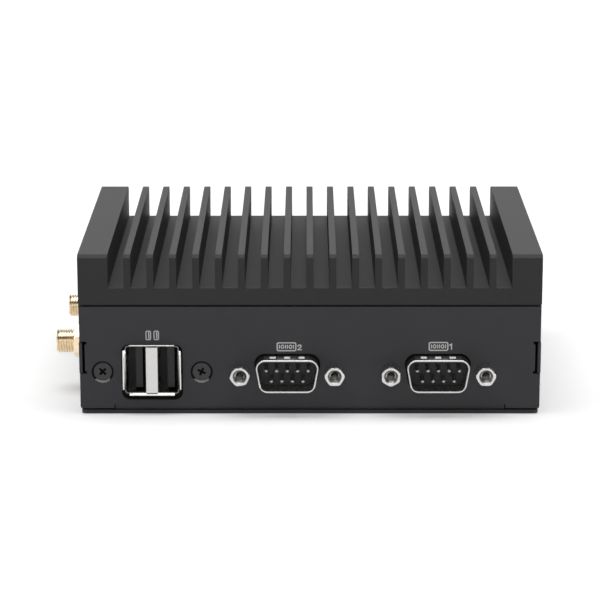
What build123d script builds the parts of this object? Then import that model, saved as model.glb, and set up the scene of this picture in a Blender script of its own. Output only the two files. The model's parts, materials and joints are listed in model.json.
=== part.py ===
from build123d import *
import os

# Fanless industrial computer: a finned cover, two folded end panels, two hooked side walls and a
# flat bottom plate round one main board. Millimetres, origin at the centre of the bottom face,
# +X to the right seen from the front, the front faces -Y, +Z up.

# Overall size
WIDTH = 122.0
DEPTH = 86.6
HEIGHT = 43.4

# Finned cover
COVER_HEIGHT = 13.5
FIN_HEIGHT = 8.95
FIN_THICKNESS = 1.8
FIN_PITCH = 6.0
END_BLOCK_WIDTH = 7.9
FIN_CHAMFER = 0.84
RIB_HEIGHT = 1.5
RIB_THICKNESS = 2.0
RIB_CLEARANCE = 0.3
COVER_GAP = 0.53

# Sheet metal of the case
PANEL_SHEET = 1.2
SIDE_SHEET = 0.8
PLATE_SHEET = 1.0
BEND_RADIUS = 0.2
PANEL_INSET = 0.2
PLATE_INSET = 0.35
PLATE_CORNER = 1.5
SHEET_LIFT = 0.6
PANEL_FLANGE_DEPTH = 8.0
PANEL_FLANGE_INSET = 9.4
SIDE_FLANGE_DEPTH = 12.5
FLANGE_CLEARANCE = 0.4
RELIEF_WIDTH = 0.3
RELIEF_RISE = 1.6

# Tabs of the side walls and their notches in the panels
NOTCH_CENTRE_Z = 15.43
NOTCH_HEIGHT = 8.86
NOTCH_DEPTH = 1.3
SERIF_DEPTH = 0.5
SERIF_HEIGHT = 0.78
TAB_END_GAP = 0.35

# Fasteners
M3_RADIUS = 1.5
M3_HOLE_RADIUS = 1.65
M3_HEAD_RADIUS = 2.5
M3_TAP_RADIUS = 1.25
SMALL_RADIUS = 1.25
SMALL_HEAD_RADIUS = 2.45
SMALL_HEAD_RECESS = 0.35
SMALL_SCREW_LENGTH = 6.0
HEAD_CLEARANCE = 0.1
HEX_CORNER_SLOPE = 0.58
SINK_EXTRA_RADIUS = 0.5
THREAD_CLEARANCE = 0.02
CROSS_WIDTH = 0.45
CROSS_SPAN = 2.1
CROSS_DEPTH = 0.55
FLANGE_SCREW_X = 25.0
FLANGE_SCREW_INSET = 4.2
FLANGE_NUT_RADIUS = 2.8
FLANGE_NUT_HEIGHT = 1.3
BRACKET_HOLE_X = 40.0
BRACKET_HOLE_Y = 25.0
BRACKET_NUT_RADIUS = 3.1
BRACKET_NUT_HEIGHT = 1.5
BRACKET_NUT_SHANK = 2.1

# Posts, spacers and main board
POST_INSET_X = 6.8
POST_INSET_Y = 10.8
POST_FLATS = 5.5
POST_STUD_LENGTH = 3.4
POST_TAP_DEPTH = 9.0
POST_SCREW_LENGTH = 12.0
SPACER_HEIGHT = 2.0
SPACER_RADIUS = 2.75
BOARD_THICKNESS = 1.6
BOARD_SIDE_GAP = 3.5
BOARD_END_GAP = 2.7

# Processor and its heat path
PACKAGE_SIZE = 22.0
PACKAGE_HEIGHT = 1.2
DIE_SIZE = 12.0
DIE_HEIGHT = 0.4
PASTE_GAP = 0.1
BLOCK_LEG = 5.5
BLOCK_LEG_GAP = 0.5
BLOCK_SCREW_LENGTH = 7.0
BLOCK_SCREW_HEAD_RADIUS = 2.2
BLOCK_SCREW_HEAD_HEIGHT = 1.5
PAD_THICKNESS = 0.5

# Height of the connectors' axis over the board
CONNECTOR_AXIS_HEIGHT = 6.2

# Double data port, its two slots upright and side by side
PORT_FROM_LEFT = 19.25
PORT_CENTRE_HEIGHT = 7.02
PORT_SLOT_WIDTH = 5.3
PORT_SLOT_HEIGHT = 12.5
PORT_DIVIDER_WIDTH = 3.1
PORT_WALL = 0.3
PORT_CORNER = 0.5
PORT_REACH = 1.5
PORT_DEPTH = 16.0
LIP_DEPTH = 0.6
LIP_SPREAD_SIDE = 0.55
LIP_SPREAD_END = 0.4
LIP_END_GAP = 0.9
TONGUE_THICKNESS = 1.84
TONGUE_OFFSET = 2.45
TONGUE_HEIGHT = 11.1
TONGUE_RECESS = 3.4
TONGUE_ROOT = 6.0
CONTACT_COUNT = 4
CONTACT_PITCH = 2.2
CONTACT_WIDTH = 1.0
CONTACT_THICKNESS = 0.25
CONTACT_LENGTH = 6.5
PORT_LEG_WIDTH = 2.0
PORT_CUTOUT_WIDTH = 16.2
PORT_CUTOUT_HEIGHT = 15.1
PORT_CUTOUT_DROP = 0.93
PORT_CUTOUT_CORNER = 2.0
PORT_SCREW_SPACING = 26.2
BRACKET_SHEET = 1.2
BRACKET_RIM = 1.6
BRACKET_EAR_RADIUS = 3.6

# Nine-pin serial ports
SERIAL_1_FROM_RIGHT = 27.2
SERIAL_2_X = -6.0
JACK_SPACING = 24.99
SERIAL_WIDTH = 17.55
SERIAL_HEIGHT = 9.06
SERIAL_CORNER = 2.5
SERIAL_SLOPE = 10.0
SERIAL_WALL = 0.5
SERIAL_REACH = 4.8
SERIAL_SHEET = 0.6
SERIAL_FLANGE_WIDTH = 30.8
SERIAL_FLANGE_HEIGHT = 12.4
SERIAL_CUTOUT_MARGIN = 0.42
SERIAL_BLOCK_DEPTH = 4.2
SERIAL_BODY_DEPTH = 5.0
SERIAL_BODY_WIDTH = 19.2
SERIAL_BODY_HEIGHT = 10.4
DIMPLE_COUNT = 3
DIMPLE_PITCH = 3.8
DIMPLE_WIDTH = 1.6
DIMPLE_RADIUS = 1.8
DIMPLE_DEPTH = 0.3
DIMPLE_FROM_RIM = 2.5
INSERT_CLEARANCE = 0.05
PIN_PITCH = 2.77
PIN_ROW_SPACING = 2.84
PIN_RADIUS = 0.5
PIN_LENGTH = 5.4
PIN_TIP_RECESS = 0.4
PIN_TIP_CHAMFER = 0.3
PIN_LEG = 0.6
PIN_LEG_GAP = 1.0
WIDE_ROW_PINS = 5
NARROW_ROW_PINS = 4
JACK_FLATS = 4.8
JACK_LENGTH = 5.0
JACK_BORE_RADIUS = 1.42
JACK_BORE_DEPTH = 4.6
JACK_STUD_RADIUS = 1.25
JACK_HOLE_RADIUS = 1.65
JACK_TURNS = [9.0, 0.0, 30.0, 0.0]

# Antenna jacks on the left wall
ANTENNA_HEIGHT = 13.45
ANTENNA_SPACING = 38.14
ANTENNA_REACH = 8.0
ANTENNA_THREAD_RADIUS = 3.175
ANTENNA_NECK_RADIUS = 2.85
ANTENNA_TIP_CHAMFER = 0.3
ANTENNA_WASHER_RADIUS = 4.4
ANTENNA_WASHER_THICKNESS = 1.0
ANTENNA_NUT_FLATS = 7.9
ANTENNA_NUT_THICKNESS = 2.3
ANTENNA_NUT_TURN = 30.0
ANTENNA_SHOULDER_FLATS = 8.0
ANTENNA_SHOULDER_THICKNESS = 2.0
ANTENNA_FERRULE_RADIUS = 1.8
ANTENNA_FERRULE_LENGTH = 7.0
ANTENNA_BORE_RADIUS = 2.1
ANTENNA_BORE_FLOOR = 0.6
ANTENNA_CONTACT_RADIUS = 0.64
ANTENNA_CONTACT_BORE = 0.46

# Antenna leads and their plugs
LEAD_DIAMETER = 1.13
LEAD_RUNS = {"front": 12.0, "rear": 8.0}
LEAD_DROP = 0.7
LEAD_ARC_SHARE = 0.45
LEAD_PLUG_RADIUS = 1.5
LEAD_PLUG_HEIGHT = 1.3
LEAD_PLUG_SPACING = 9.0
LEAD_PLUG_FROM_END = 3.0

# Cards in edge sockets
CARD_WIDTH = 22.0
CARD_THICKNESS = 0.8
CARD_LIFT = 2.5
CARD_SOCKET_DEPTH = 5.0
CARD_SOCKET_HEIGHT = 4.2
CARD_SOCKET_MARGIN = 0.7
CARD_GRIP = 2.0
CARD_SLOT_CLEARANCE = 0.05
CARD_POST_RADIUS = 2.2
CARD_SCREW_HEAD_RADIUS = 1.9
CARD_SCREW_HEAD_HEIGHT = 0.8
CARD_SCREW_RADIUS = 1.0
CARD_SCREW_LENGTH = 2.4
WIRELESS_LENGTH = 30.0
WIRELESS_GAP = 1.1
WIRELESS_SOCKET_FROM_LEFT = 9.5
STORAGE_LENGTH = 42.0
STORAGE_SIDE_GAP = 0.8
STORAGE_END_GAP = 1.2

# Coin cell
CELL_RADIUS = 8.0
CELL_HEIGHT = 3.2
CELL_HOLDER_WALL = 1.1
CELL_HOLDER_HEIGHT = 4.2
CELL_HOLDER_FLOOR = 0.6
CELL_CLEARANCE = 0.15
CELL_FROM_LEFT = 25.0
CELL_GAP = 1.0

# Chips, coils and capacitors on the board
MEMORY_LENGTH = 12.5
MEMORY_WIDTH = 7.5
MEMORY_HEIGHT = 1.1
MEMORY_PITCH = 14.0
MEMORY_GAP = 0.5
COIL_SIZE = 7.0
COIL_HEIGHT = 4.0
COIL_COUNT = 4
COIL_PITCH = 8.0
COIL_EDGE_GAP = 1.0
CAPACITOR_RADIUS = 3.15
CAPACITOR_HEIGHT = 5.8
CAPACITOR_COUNT = 3
CAPACITOR_PITCH = 8.0
CAPACITOR_FIRST_X = -2.0
CAPACITOR_FROM_REAR = 20.0

# Rear panel, x counted to the right as seen from behind
NETWORK_X = [22.0, 41.0]
NETWORK_WIDTH = 16.0
NETWORK_HEIGHT = 13.4
NETWORK_DEPTH = 21.0
NETWORK_WALL = 0.3
NETWORK_REACH = 0.3
NETWORK_MOUTH_WIDTH = 11.8
NETWORK_MOUTH_HEIGHT = 7.9
NETWORK_MOUTH_DEPTH = 12.0
NETWORK_MOUTH_LIFT = 3.6
LATCH_WIDTH = 6.4
LATCH_HEIGHT = 1.6
DISPLAY_X = [-15.0, 3.0]
DISPLAY_WIDTH = 15.0
DISPLAY_HEIGHT = 5.6
DISPLAY_DEPTH = 11.5
DISPLAY_WALL = 0.4
DISPLAY_SLANT = 1.4
DISPLAY_LIFT = 0.5
DISPLAY_LEG = 1.6
DISPLAY_TONGUE_WIDTH = 10.8
DISPLAY_TONGUE_THICKNESS = 1.3
DISPLAY_TONGUE_RECESS = 1.2
DISPLAY_ROOT = 3.0
INLET_X = -31.0
INLET_WIDTH = 9.0
INLET_HEIGHT = 11.0
INLET_DEPTH = 14.5
INLET_BORE_RADIUS = 3.15
INLET_BORE_DEPTH = 9.5
INLET_PIN_RADIUS = 1.0
INLET_PIN_RECESS = 0.8
CUTOUT_CLEARANCE = 0.2

# Power button, its switch and the status light
BUTTON_X = -42.0
BUTTON_RADIUS = 3.0
BUTTON_REACH = 0.8
BUTTON_RADIAL_GAP = 0.15
BUTTON_TRAVEL = 0.5
BUTTON_RIM_RADIUS = 4.0
BUTTON_RIM_THICKNESS = 1.0
BUTTON_RIM_GAP = 0.25
BUTTON_BOSS_RADIUS = 1.5
BUTTON_BOSS_LENGTH = 1.5
PLUNGER_RADIUS = 1.2
PLUNGER_SHOWN = 0.9
PLUNGER_HELD = 1.3
PLUNGER_SPARE = 0.2
SWITCH_WIDTH = 7.0
SWITCH_DEPTH = 4.5
SWITCH_OVER_AXIS = 3.0
LIGHT_X = -50.0
LIGHT_RADIUS = 1.0
LIGHT_RIM_RADIUS = 1.7
LIGHT_RIM_THICKNESS = 1.0
LIGHT_CLEARANCE = 0.05

# Heights and places that follow from the sizes above
COVER_BOTTOM = HEIGHT - COVER_HEIGHT
WALLS_TOP = COVER_BOTTOM - COVER_GAP
BOARD_BOTTOM = PLATE_SHEET + SIDE_SHEET + SPACER_HEIGHT
BOARD_TOP = BOARD_BOTTOM + BOARD_THICKNESS
AXIS_Z = BOARD_TOP + CONNECTOR_AXIS_HEIGHT
PORT_Z = BOARD_TOP + PORT_CENTRE_HEIGHT
PORT_X = PORT_FROM_LEFT - WIDTH / 2
SERIAL_X = {"1": WIDTH / 2 - SERIAL_1_FROM_RIGHT, "2": SERIAL_2_X}
POST_X = WIDTH / 2 - POST_INSET_X
POST_Y = DEPTH / 2 - POST_INSET_Y
PORT_INNER_WIDTH = 2 * PORT_SLOT_WIDTH + PORT_DIVIDER_WIDTH
BLOCK_SIZE = PACKAGE_SIZE + 2 * (BLOCK_LEG_GAP + BLOCK_LEG)
BLOCK_BOTTOM = BOARD_TOP + PACKAGE_HEIGHT + DIE_HEIGHT + PASTE_GAP
CARD_BOTTOM = BOARD_TOP + CARD_LIFT
SERIAL_BODY_BACK = PANEL_SHEET + SERIAL_SHEET + SERIAL_BLOCK_DEPTH + SERIAL_BODY_DEPTH
SERIAL_TAIL = SERIAL_BODY_BACK + PIN_LEG_GAP + PIN_ROW_SPACING + PIN_LEG / 2
CARD_SOCKET_HALF = CARD_WIDTH / 2 + CARD_SOCKET_MARGIN
WIRELESS_X = WIRELESS_SOCKET_FROM_LEFT - WIDTH / 2
WIRELESS_Y = DEPTH / 2 - NETWORK_DEPTH - WIRELESS_GAP - CARD_SOCKET_HALF
COIL_X = WIDTH / 2 - BOARD_SIDE_GAP - COIL_EDGE_GAP - COIL_SIZE / 2
STORAGE_X = COIL_X - COIL_SIZE / 2 - STORAGE_SIDE_GAP - CARD_SOCKET_HALF
STORAGE_END_Y = SERIAL_TAIL + STORAGE_END_GAP + CARD_POST_RADIUS - DEPTH / 2
STORAGE_Y = STORAGE_END_Y + STORAGE_LENGTH - CARD_GRIP
CELL_HOLDER_HALF = CELL_RADIUS + CELL_CLEARANCE + CELL_HOLDER_WALL
CELL_X = CELL_FROM_LEFT - WIDTH / 2
CELL_Y = WIRELESS_Y - CARD_SOCKET_HALF - CELL_GAP - CELL_HOLDER_HALF

# Places of a wall's own frame: x to the right seen from outside, y inwards, z up
PLACES = {
    "front": Pos(0, -DEPTH / 2, 0),
    "rear": Pos(0, DEPTH / 2, 0) * Rot(0, 0, 180),
    "left": Pos(-WIDTH / 2, 0, 0) * Rot(0, 0, -90),
    "right": Pos(WIDTH / 2, 0, 0) * Rot(0, 0, 90),
}


def block(x0, x1, y0, y1, z0, z1):
    centre = Pos((x0 + x1) / 2, (y0 + y1) / 2, (z0 + z1) / 2)
    return centre * Box(x1 - x0, y1 - y0, z1 - z0)


def rod_z(x, y, z0, z1, radius):
    return Pos(x, y, (z0 + z1) / 2) * Cylinder(radius, z1 - z0)


def rod_y(x, z, y0, y1, radius):
    return Pos(x, (y0 + y1) / 2, z) * Rot(90, 0, 0) * Cylinder(radius, y1 - y0)


def along_y(sketch, y0, y1):
    return Pos(0, y0, 0) * extrude(Plane.XZ * sketch, amount=y0 - y1)


def turned_y(points):
    profile = make_face(Polyline(*points, close=True))
    return revolve(profile, Axis.Y)


# A hexagonal bar whose corners are turned off at the end y0
def hex_y(y0, y1, flats, turn=0.0):
    outline = Rot(0, 0, turn) * RegularPolygon(flats / 2, 6, major_radius=False)
    corner = flats / 3**0.5
    slope_end = y0 + (corner - flats / 2) * HEX_CORNER_SLOPE
    blank = turned_y([(0, y0), (flats / 2, y0), (corner, slope_end), (corner, y1), (0, y1)])
    return along_y(outline, y0, y1) & blank


def mirrored_pairs(x, y):
    return [(sx * x, sy * y) for sx in (-1, 1) for sy in (-1, 1)]


def group(solids):
    return Compound(children=list(solids))


# Screws stand head down on z = 0 and point up
def flat_head_screw(head_radius, head_height, shank_radius, length, turn=0.0):
    head = Pos(0, 0, head_height / 2) * Cone(head_radius, head_radius - head_height, head_height)
    screw = head + rod_z(0, 0, head_height, length, shank_radius)
    for angle in (turn, turn + 90):
        screw -= Rot(0, 0, angle) * Box(CROSS_SPAN, CROSS_WIDTH, 2 * CROSS_DEPTH)
    return screw


def sunk_hole(x, y, head_radius, hole_radius, sheet):
    sink_height = head_radius - hole_radius
    cone = Pos(x, y, sink_height / 2) * Cone(head_radius, hole_radius, sink_height)
    return cone + rod_z(x, y, 0, sheet, hole_radius)


# Finned cover
def make_cover():
    gap = FIN_PITCH - FIN_THICKNESS
    fin_count = int((WIDTH - 2 * END_BLOCK_WIDTH - gap) / FIN_PITCH + 0.001)
    section = Pos(0, COVER_BOTTOM + COVER_HEIGHT / 2) * Rectangle(WIDTH, COVER_HEIGHT)
    for index in range(fin_count + 1):
        channel_x = (index - fin_count / 2) * FIN_PITCH
        section -= Pos(channel_x, HEIGHT - FIN_HEIGHT / 2) * Rectangle(gap, FIN_HEIGHT)
    cover = along_y(section, -DEPTH / 2, DEPTH / 2)
    for side in (-1, 1):
        edge = Pos(0, side * DEPTH / 2, HEIGHT) * Rot(45, 0, 0)
        cover -= edge * Box(WIDTH, FIN_CHAMFER * 2**0.5, FIN_CHAMFER * 2**0.5)
    rib_x = WIDTH / 2 - SIDE_SHEET - RIB_CLEARANCE
    rib_y = DEPTH / 2 - PANEL_SHEET - RIB_CLEARANCE
    rib = block(-rib_x, rib_x, -rib_y, rib_y, COVER_BOTTOM - RIB_HEIGHT, COVER_BOTTOM)
    inner_x = rib_x - RIB_THICKNESS
    inner_y = rib_y - RIB_THICKNESS
    rib -= block(-inner_x, inner_x, -inner_y, inner_y, COVER_BOTTOM - RIB_HEIGHT, COVER_BOTTOM)
    cover += rib
    stud_hole = M3_RADIUS + THREAD_CLEARANCE
    for x, y in mirrored_pairs(POST_X, POST_Y):
        cover -= rod_z(x, y, COVER_BOTTOM, COVER_BOTTOM + POST_STUD_LENGTH + THREAD_CLEARANCE, stud_hole)
    return cover


# A wall with a flange bent inwards at its foot, in the wall's own frame
def folded_wall(half_length, flange_half_length, sheet, flange_depth):
    outer = BEND_RADIUS + sheet
    foot = PLATE_SHEET
    centre = (outer, foot + outer)
    edges = [
        Line((0, WALLS_TOP), (0, foot + outer)),
        CenterArc(centre, outer, 180, 90),
        Line((outer, foot), (flange_depth, foot)),
        Line((flange_depth, foot), (flange_depth, foot + sheet)),
        Line((flange_depth, foot + sheet), (outer, foot + sheet)),
        CenterArc(centre, BEND_RADIUS, 180, 90),
        Line((sheet, foot + outer), (sheet, WALLS_TOP)),
        Line((sheet, WALLS_TOP), (0, WALLS_TOP)),
    ]
    wall = extrude(Plane.YZ * make_face(edges), amount=flange_half_length, both=True)
    wall += block(-half_length, half_length, 0, sheet, foot + outer, WALLS_TOP)
    relief_end = flange_half_length + RELIEF_WIDTH
    for side in (-1, 1):
        near, far = sorted((side * relief_end, side * half_length))
        wall += block(near, far, 0, sheet, foot + SHEET_LIFT, foot + outer)
        near, far = sorted((side * flange_half_length, side * relief_end))
        wall -= block(near, far, 0, sheet, foot, foot + RELIEF_RISE)
    return wall


def make_panel(cutouts):
    half_width = WIDTH / 2 - PANEL_INSET
    flange_half = WIDTH / 2 - PANEL_FLANGE_INSET
    panel = folded_wall(half_width, flange_half, PANEL_SHEET, PANEL_FLANGE_DEPTH)
    for side in (-1, 1):
        notch_x = side * (half_width - NOTCH_DEPTH / 2)
        panel -= Pos(notch_x, 0, NOTCH_CENTRE_Z) * Box(NOTCH_DEPTH, 2 * PANEL_SHEET, NOTCH_HEIGHT)
        for end in (-1, 1):
            serif_z = NOTCH_CENTRE_Z + end * (NOTCH_HEIGHT - SERIF_HEIGHT) / 2
            serif_x = side * (half_width - NOTCH_DEPTH - SERIF_DEPTH / 2)
            panel -= Pos(serif_x, 0, serif_z) * Box(SERIF_DEPTH, 2 * PANEL_SHEET, SERIF_HEIGHT)
        hole_x = side * FLANGE_SCREW_X
        panel -= rod_z(hole_x, FLANGE_SCREW_INSET, 0, PLATE_SHEET + PANEL_SHEET, M3_HOLE_RADIUS)
    for cutout in cutouts:
        panel -= cutout
    return panel


def through_panel(sketch):
    return along_y(sketch, -PANEL_SHEET, 2 * PANEL_SHEET)


def make_front_panel():
    port_cut = Pos(PORT_X, PORT_Z - PORT_CUTOUT_DROP) * RectangleRounded(
        PORT_CUTOUT_WIDTH, PORT_CUTOUT_HEIGHT, PORT_CUTOUT_CORNER
    )
    cutouts = [through_panel(port_cut)]
    for x in SERIAL_X.values():
        cutouts.append(through_panel(Pos(x, AXIS_Z) * d_outline(SERIAL_CUTOUT_MARGIN)))
        for side in (-1, 1):
            hole = Pos(x + side * JACK_SPACING / 2, AXIS_Z) * Circle(JACK_HOLE_RADIUS)
            cutouts.append(through_panel(hole))
    head = SMALL_HEAD_RADIUS + SINK_EXTRA_RADIUS
    for side in (-1, 1):
        sink = sunk_hole(0, 0, head, head - PANEL_SHEET, PANEL_SHEET)
        screw_x = PORT_X + side * PORT_SCREW_SPACING / 2
        cutouts.append(Pos(screw_x, 0, AXIS_Z) * Rot(-90, 0, 0) * sink)
    return PLACES["front"] * make_panel(cutouts)


def make_rear_panel():
    gap = CUTOUT_CLEARANCE
    cutouts = []
    for x in NETWORK_X:
        outline = Rectangle(NETWORK_WIDTH + 2 * gap, NETWORK_HEIGHT + 2 * gap)
        cutouts.append(through_panel(Pos(x, BOARD_TOP + NETWORK_HEIGHT / 2) * outline))
    for x in DISPLAY_X:
        outline = Pos(x, BOARD_TOP + DISPLAY_LIFT + DISPLAY_HEIGHT / 2) * display_outline(gap)
        cutouts.append(through_panel(outline))
    outline = Rectangle(INLET_WIDTH + 2 * gap, INLET_HEIGHT + 2 * gap)
    cutouts.append(through_panel(Pos(INLET_X, BOARD_TOP + INLET_HEIGHT / 2) * outline))
    cutouts.append(through_panel(Pos(BUTTON_X, AXIS_Z) * Circle(BUTTON_RADIUS + BUTTON_RADIAL_GAP)))
    cutouts.append(through_panel(Pos(LIGHT_X, AXIS_Z) * Circle(LIGHT_RADIUS + LIGHT_CLEARANCE)))
    return PLACES["rear"] * make_panel(cutouts)


def make_side_wall(side, jack_holes):
    half_length = DEPTH / 2 - PANEL_SHEET
    flange_half = DEPTH / 2 - PANEL_FLANGE_DEPTH - FLANGE_CLEARANCE
    wall = folded_wall(half_length, flange_half, SIDE_SHEET, SIDE_FLANGE_DEPTH)
    tab_height = NOTCH_HEIGHT - 2 * TAB_END_GAP
    tab = Box(DEPTH, SIDE_SHEET, tab_height)
    wall += Pos(0, SIDE_SHEET / 2, NOTCH_CENTRE_Z) * tab
    for end in (-1, 1):
        wall -= rod_z(end * POST_Y, POST_INSET_X, 0, PLATE_SHEET + SIDE_SHEET, M3_HOLE_RADIUS)
    for x in jack_holes:
        neck_hole = Circle(ANTENNA_NECK_RADIUS + THREAD_CLEARANCE)
        wall -= along_y(Pos(x, ANTENNA_HEIGHT) * neck_hole, -SIDE_SHEET, 2 * SIDE_SHEET)
    return PLACES[side] * wall


def make_bottom_plate():
    outline = RectangleRounded(WIDTH - 2 * PLATE_INSET, DEPTH - 2 * PLATE_INSET, PLATE_CORNER)
    plate = extrude(outline, amount=PLATE_SHEET)
    head = M3_HEAD_RADIUS + HEAD_CLEARANCE
    flange_y = DEPTH / 2 - FLANGE_SCREW_INSET
    for x, y in mirrored_pairs(POST_X, POST_Y) + mirrored_pairs(FLANGE_SCREW_X, flange_y):
        plate -= sunk_hole(x, y, head, M3_HOLE_RADIUS, PLATE_SHEET)
    for x, y in mirrored_pairs(BRACKET_HOLE_X, BRACKET_HOLE_Y):
        plate -= rod_z(x, y, 0, PLATE_SHEET, BRACKET_NUT_SHANK)
    return plate


# Screws, nuts, posts and spacers that hold the case together
def make_bottom_screws():
    screw = flat_head_screw(M3_HEAD_RADIUS, M3_HEAD_RADIUS - M3_RADIUS, M3_RADIUS, POST_SCREW_LENGTH)
    return group(Pos(x, y, 0) * screw for x, y in mirrored_pairs(POST_X, POST_Y))


def make_flange_screws():
    length = PLATE_SHEET + PANEL_SHEET + FLANGE_NUT_HEIGHT
    screw = flat_head_screw(M3_HEAD_RADIUS, M3_HEAD_RADIUS - M3_RADIUS, M3_RADIUS, length)
    y = DEPTH / 2 - FLANGE_SCREW_INSET
    return group(Pos(x, sy, 0) * screw for x, sy in mirrored_pairs(FLANGE_SCREW_X, y))


def make_flange_nuts():
    base = PLATE_SHEET + PANEL_SHEET
    y = DEPTH / 2 - FLANGE_SCREW_INSET
    nut = rod_z(0, 0, base, base + FLANGE_NUT_HEIGHT, FLANGE_NUT_RADIUS)
    nut -= rod_z(0, 0, base, base + FLANGE_NUT_HEIGHT, M3_RADIUS + THREAD_CLEARANCE)
    return group(Pos(x, sy, 0) * nut for x, sy in mirrored_pairs(FLANGE_SCREW_X, y))


def make_bracket_nuts():
    top = PLATE_SHEET + BRACKET_NUT_HEIGHT
    nut = rod_z(0, 0, PLATE_SHEET, top, BRACKET_NUT_RADIUS)
    nut += rod_z(0, 0, 0, PLATE_SHEET, BRACKET_NUT_SHANK - THREAD_CLEARANCE)
    nut -= rod_z(0, 0, 0, top, M3_TAP_RADIUS)
    return group(Pos(x, y, 0) * nut for x, y in mirrored_pairs(BRACKET_HOLE_X, BRACKET_HOLE_Y))


def make_cover_posts():
    outline = RegularPolygon(POST_FLATS / 2, 6, major_radius=False)
    post = Pos(0, 0, BOARD_TOP) * extrude(outline, amount=COVER_BOTTOM - BOARD_TOP)
    post += rod_z(0, 0, COVER_BOTTOM, COVER_BOTTOM + POST_STUD_LENGTH, M3_RADIUS)
    post -= rod_z(0, 0, BOARD_TOP, BOARD_TOP + POST_TAP_DEPTH, M3_RADIUS + THREAD_CLEARANCE)
    return group(Pos(x, y, 0) * post for x, y in mirrored_pairs(POST_X, POST_Y))


def make_board_spacers():
    base = PLATE_SHEET + SIDE_SHEET
    spacer = rod_z(0, 0, base, BOARD_BOTTOM, SPACER_RADIUS)
    spacer -= rod_z(0, 0, base, BOARD_BOTTOM, M3_HOLE_RADIUS)
    return group(Pos(x, y, 0) * spacer for x, y in mirrored_pairs(POST_X, POST_Y))


def make_main_board():
    half_x = WIDTH / 2 - BOARD_SIDE_GAP
    half_y = DEPTH / 2 - BOARD_END_GAP
    board = block(-half_x, half_x, -half_y, half_y, BOARD_BOTTOM, BOARD_TOP)
    for x, y in mirrored_pairs(POST_X, POST_Y):
        board -= rod_z(x, y, BOARD_BOTTOM, BOARD_TOP, M3_HOLE_RADIUS)
    leg = (BLOCK_SIZE - BLOCK_LEG) / 2
    for x, y in mirrored_pairs(leg, leg):
        board -= rod_z(x, y, BOARD_BOTTOM, BOARD_TOP, SMALL_RADIUS + HEAD_CLEARANCE)
    return board


# Processor, heat block and pad
def make_processor():
    half = PACKAGE_SIZE / 2
    die = DIE_SIZE / 2
    lid = BOARD_TOP + PACKAGE_HEIGHT
    package = block(-half, half, -half, half, BOARD_TOP, lid)
    return package + block(-die, die, -die, die, lid, lid + DIE_HEIGHT)


def make_heat_block():
    half = BLOCK_SIZE / 2
    top = COVER_BOTTOM - PAD_THICKNESS
    body = block(-half, half, -half, half, BLOCK_BOTTOM, top)
    leg = (BLOCK_SIZE - BLOCK_LEG) / 2
    for x, y in mirrored_pairs(leg, leg):
        body += Pos(x, y, (BOARD_TOP + BLOCK_BOTTOM) / 2) * Box(
            BLOCK_LEG, BLOCK_LEG, BLOCK_BOTTOM - BOARD_TOP
        )
    for x, y in mirrored_pairs(leg, leg):
        tapped_top = BOARD_BOTTOM + BLOCK_SCREW_LENGTH + THREAD_CLEARANCE
        body -= rod_z(x, y, BOARD_TOP, tapped_top, SMALL_RADIUS + THREAD_CLEARANCE)
    return body


def make_block_screws():
    screw = rod_z(0, 0, BOARD_BOTTOM - BLOCK_SCREW_HEAD_HEIGHT, BOARD_BOTTOM, BLOCK_SCREW_HEAD_RADIUS)
    screw += rod_z(0, 0, BOARD_BOTTOM, BOARD_BOTTOM + BLOCK_SCREW_LENGTH, SMALL_RADIUS)
    leg = (BLOCK_SIZE - BLOCK_LEG) / 2
    return group(Pos(x, y, 0) * screw for x, y in mirrored_pairs(leg, leg))


def make_thermal_pad():
    half = BLOCK_SIZE / 2
    return block(-half, half, -half, half, COVER_BOTTOM - PAD_THICKNESS, COVER_BOTTOM)


# Double data port
def make_port_shell():
    half_x = PORT_INNER_WIDTH / 2
    half_z = PORT_SLOT_HEIGHT / 2
    wall = PORT_WALL
    start = LIP_DEPTH - PORT_REACH
    inside = RectangleRounded(2 * half_x, 2 * half_z, PORT_CORNER)
    outside = RectangleRounded(2 * (half_x + wall), 2 * (half_z + wall), PORT_CORNER + wall)
    shell = along_y(outside, start, PORT_DEPTH) - along_y(inside, start, PORT_DEPTH - wall)
    side_lip = lip(half_x, LIP_SPREAD_SIDE, PORT_SLOT_HEIGHT - 2 * LIP_END_GAP)
    end_lip = lip(half_z, LIP_SPREAD_END, PORT_INNER_WIDTH - 2 * LIP_END_GAP)
    for turn in (0, 180):
        shell += Rot(0, turn, 0) * side_lip
        shell += Rot(0, turn + 90, 0) * end_lip
    leg_x = half_x - PORT_CORNER - wall / 2
    floor = BOARD_TOP - PORT_Z
    for side in (-1, 1):
        for y in (PORT_DEPTH / 3, PORT_DEPTH - PORT_LEG_WIDTH):
            leg = block(-wall / 2, wall / 2, 0, PORT_LEG_WIDTH, floor, -half_z - wall)
            shell += Pos(side * leg_x, y, 0) * leg
    return PLACES["front"] * Pos(PORT_X, 0, PORT_Z) * shell


# A strip at x = edge that flares outwards towards the mouth, length along z
def lip(edge, spread, length):
    mouth = -PORT_REACH
    root = mouth + LIP_DEPTH
    points = [
        (edge, root),
        (edge + spread, mouth),
        (edge + spread + PORT_WALL, mouth),
        (edge + PORT_WALL, root),
    ]
    return extrude(make_face(Polyline(*points, close=True)), amount=length / 2, both=True)


def make_port_divider():
    half_x = PORT_DIVIDER_WIDTH / 2
    half_z = PORT_SLOT_HEIGHT / 2
    back = PORT_DEPTH - PORT_WALL - TONGUE_ROOT
    divider = block(-half_x, half_x, -PORT_REACH, back, -half_z, half_z)
    inner = half_x - PORT_WALL
    divider -= block(-inner, inner, PORT_WALL - PORT_REACH, back, -half_z, half_z)
    return PLACES["front"] * Pos(PORT_X, 0, PORT_Z) * divider


def slot_edges():
    left = -PORT_INNER_WIDTH / 2
    return [left, left + PORT_SLOT_WIDTH + PORT_DIVIDER_WIDTH]


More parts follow.
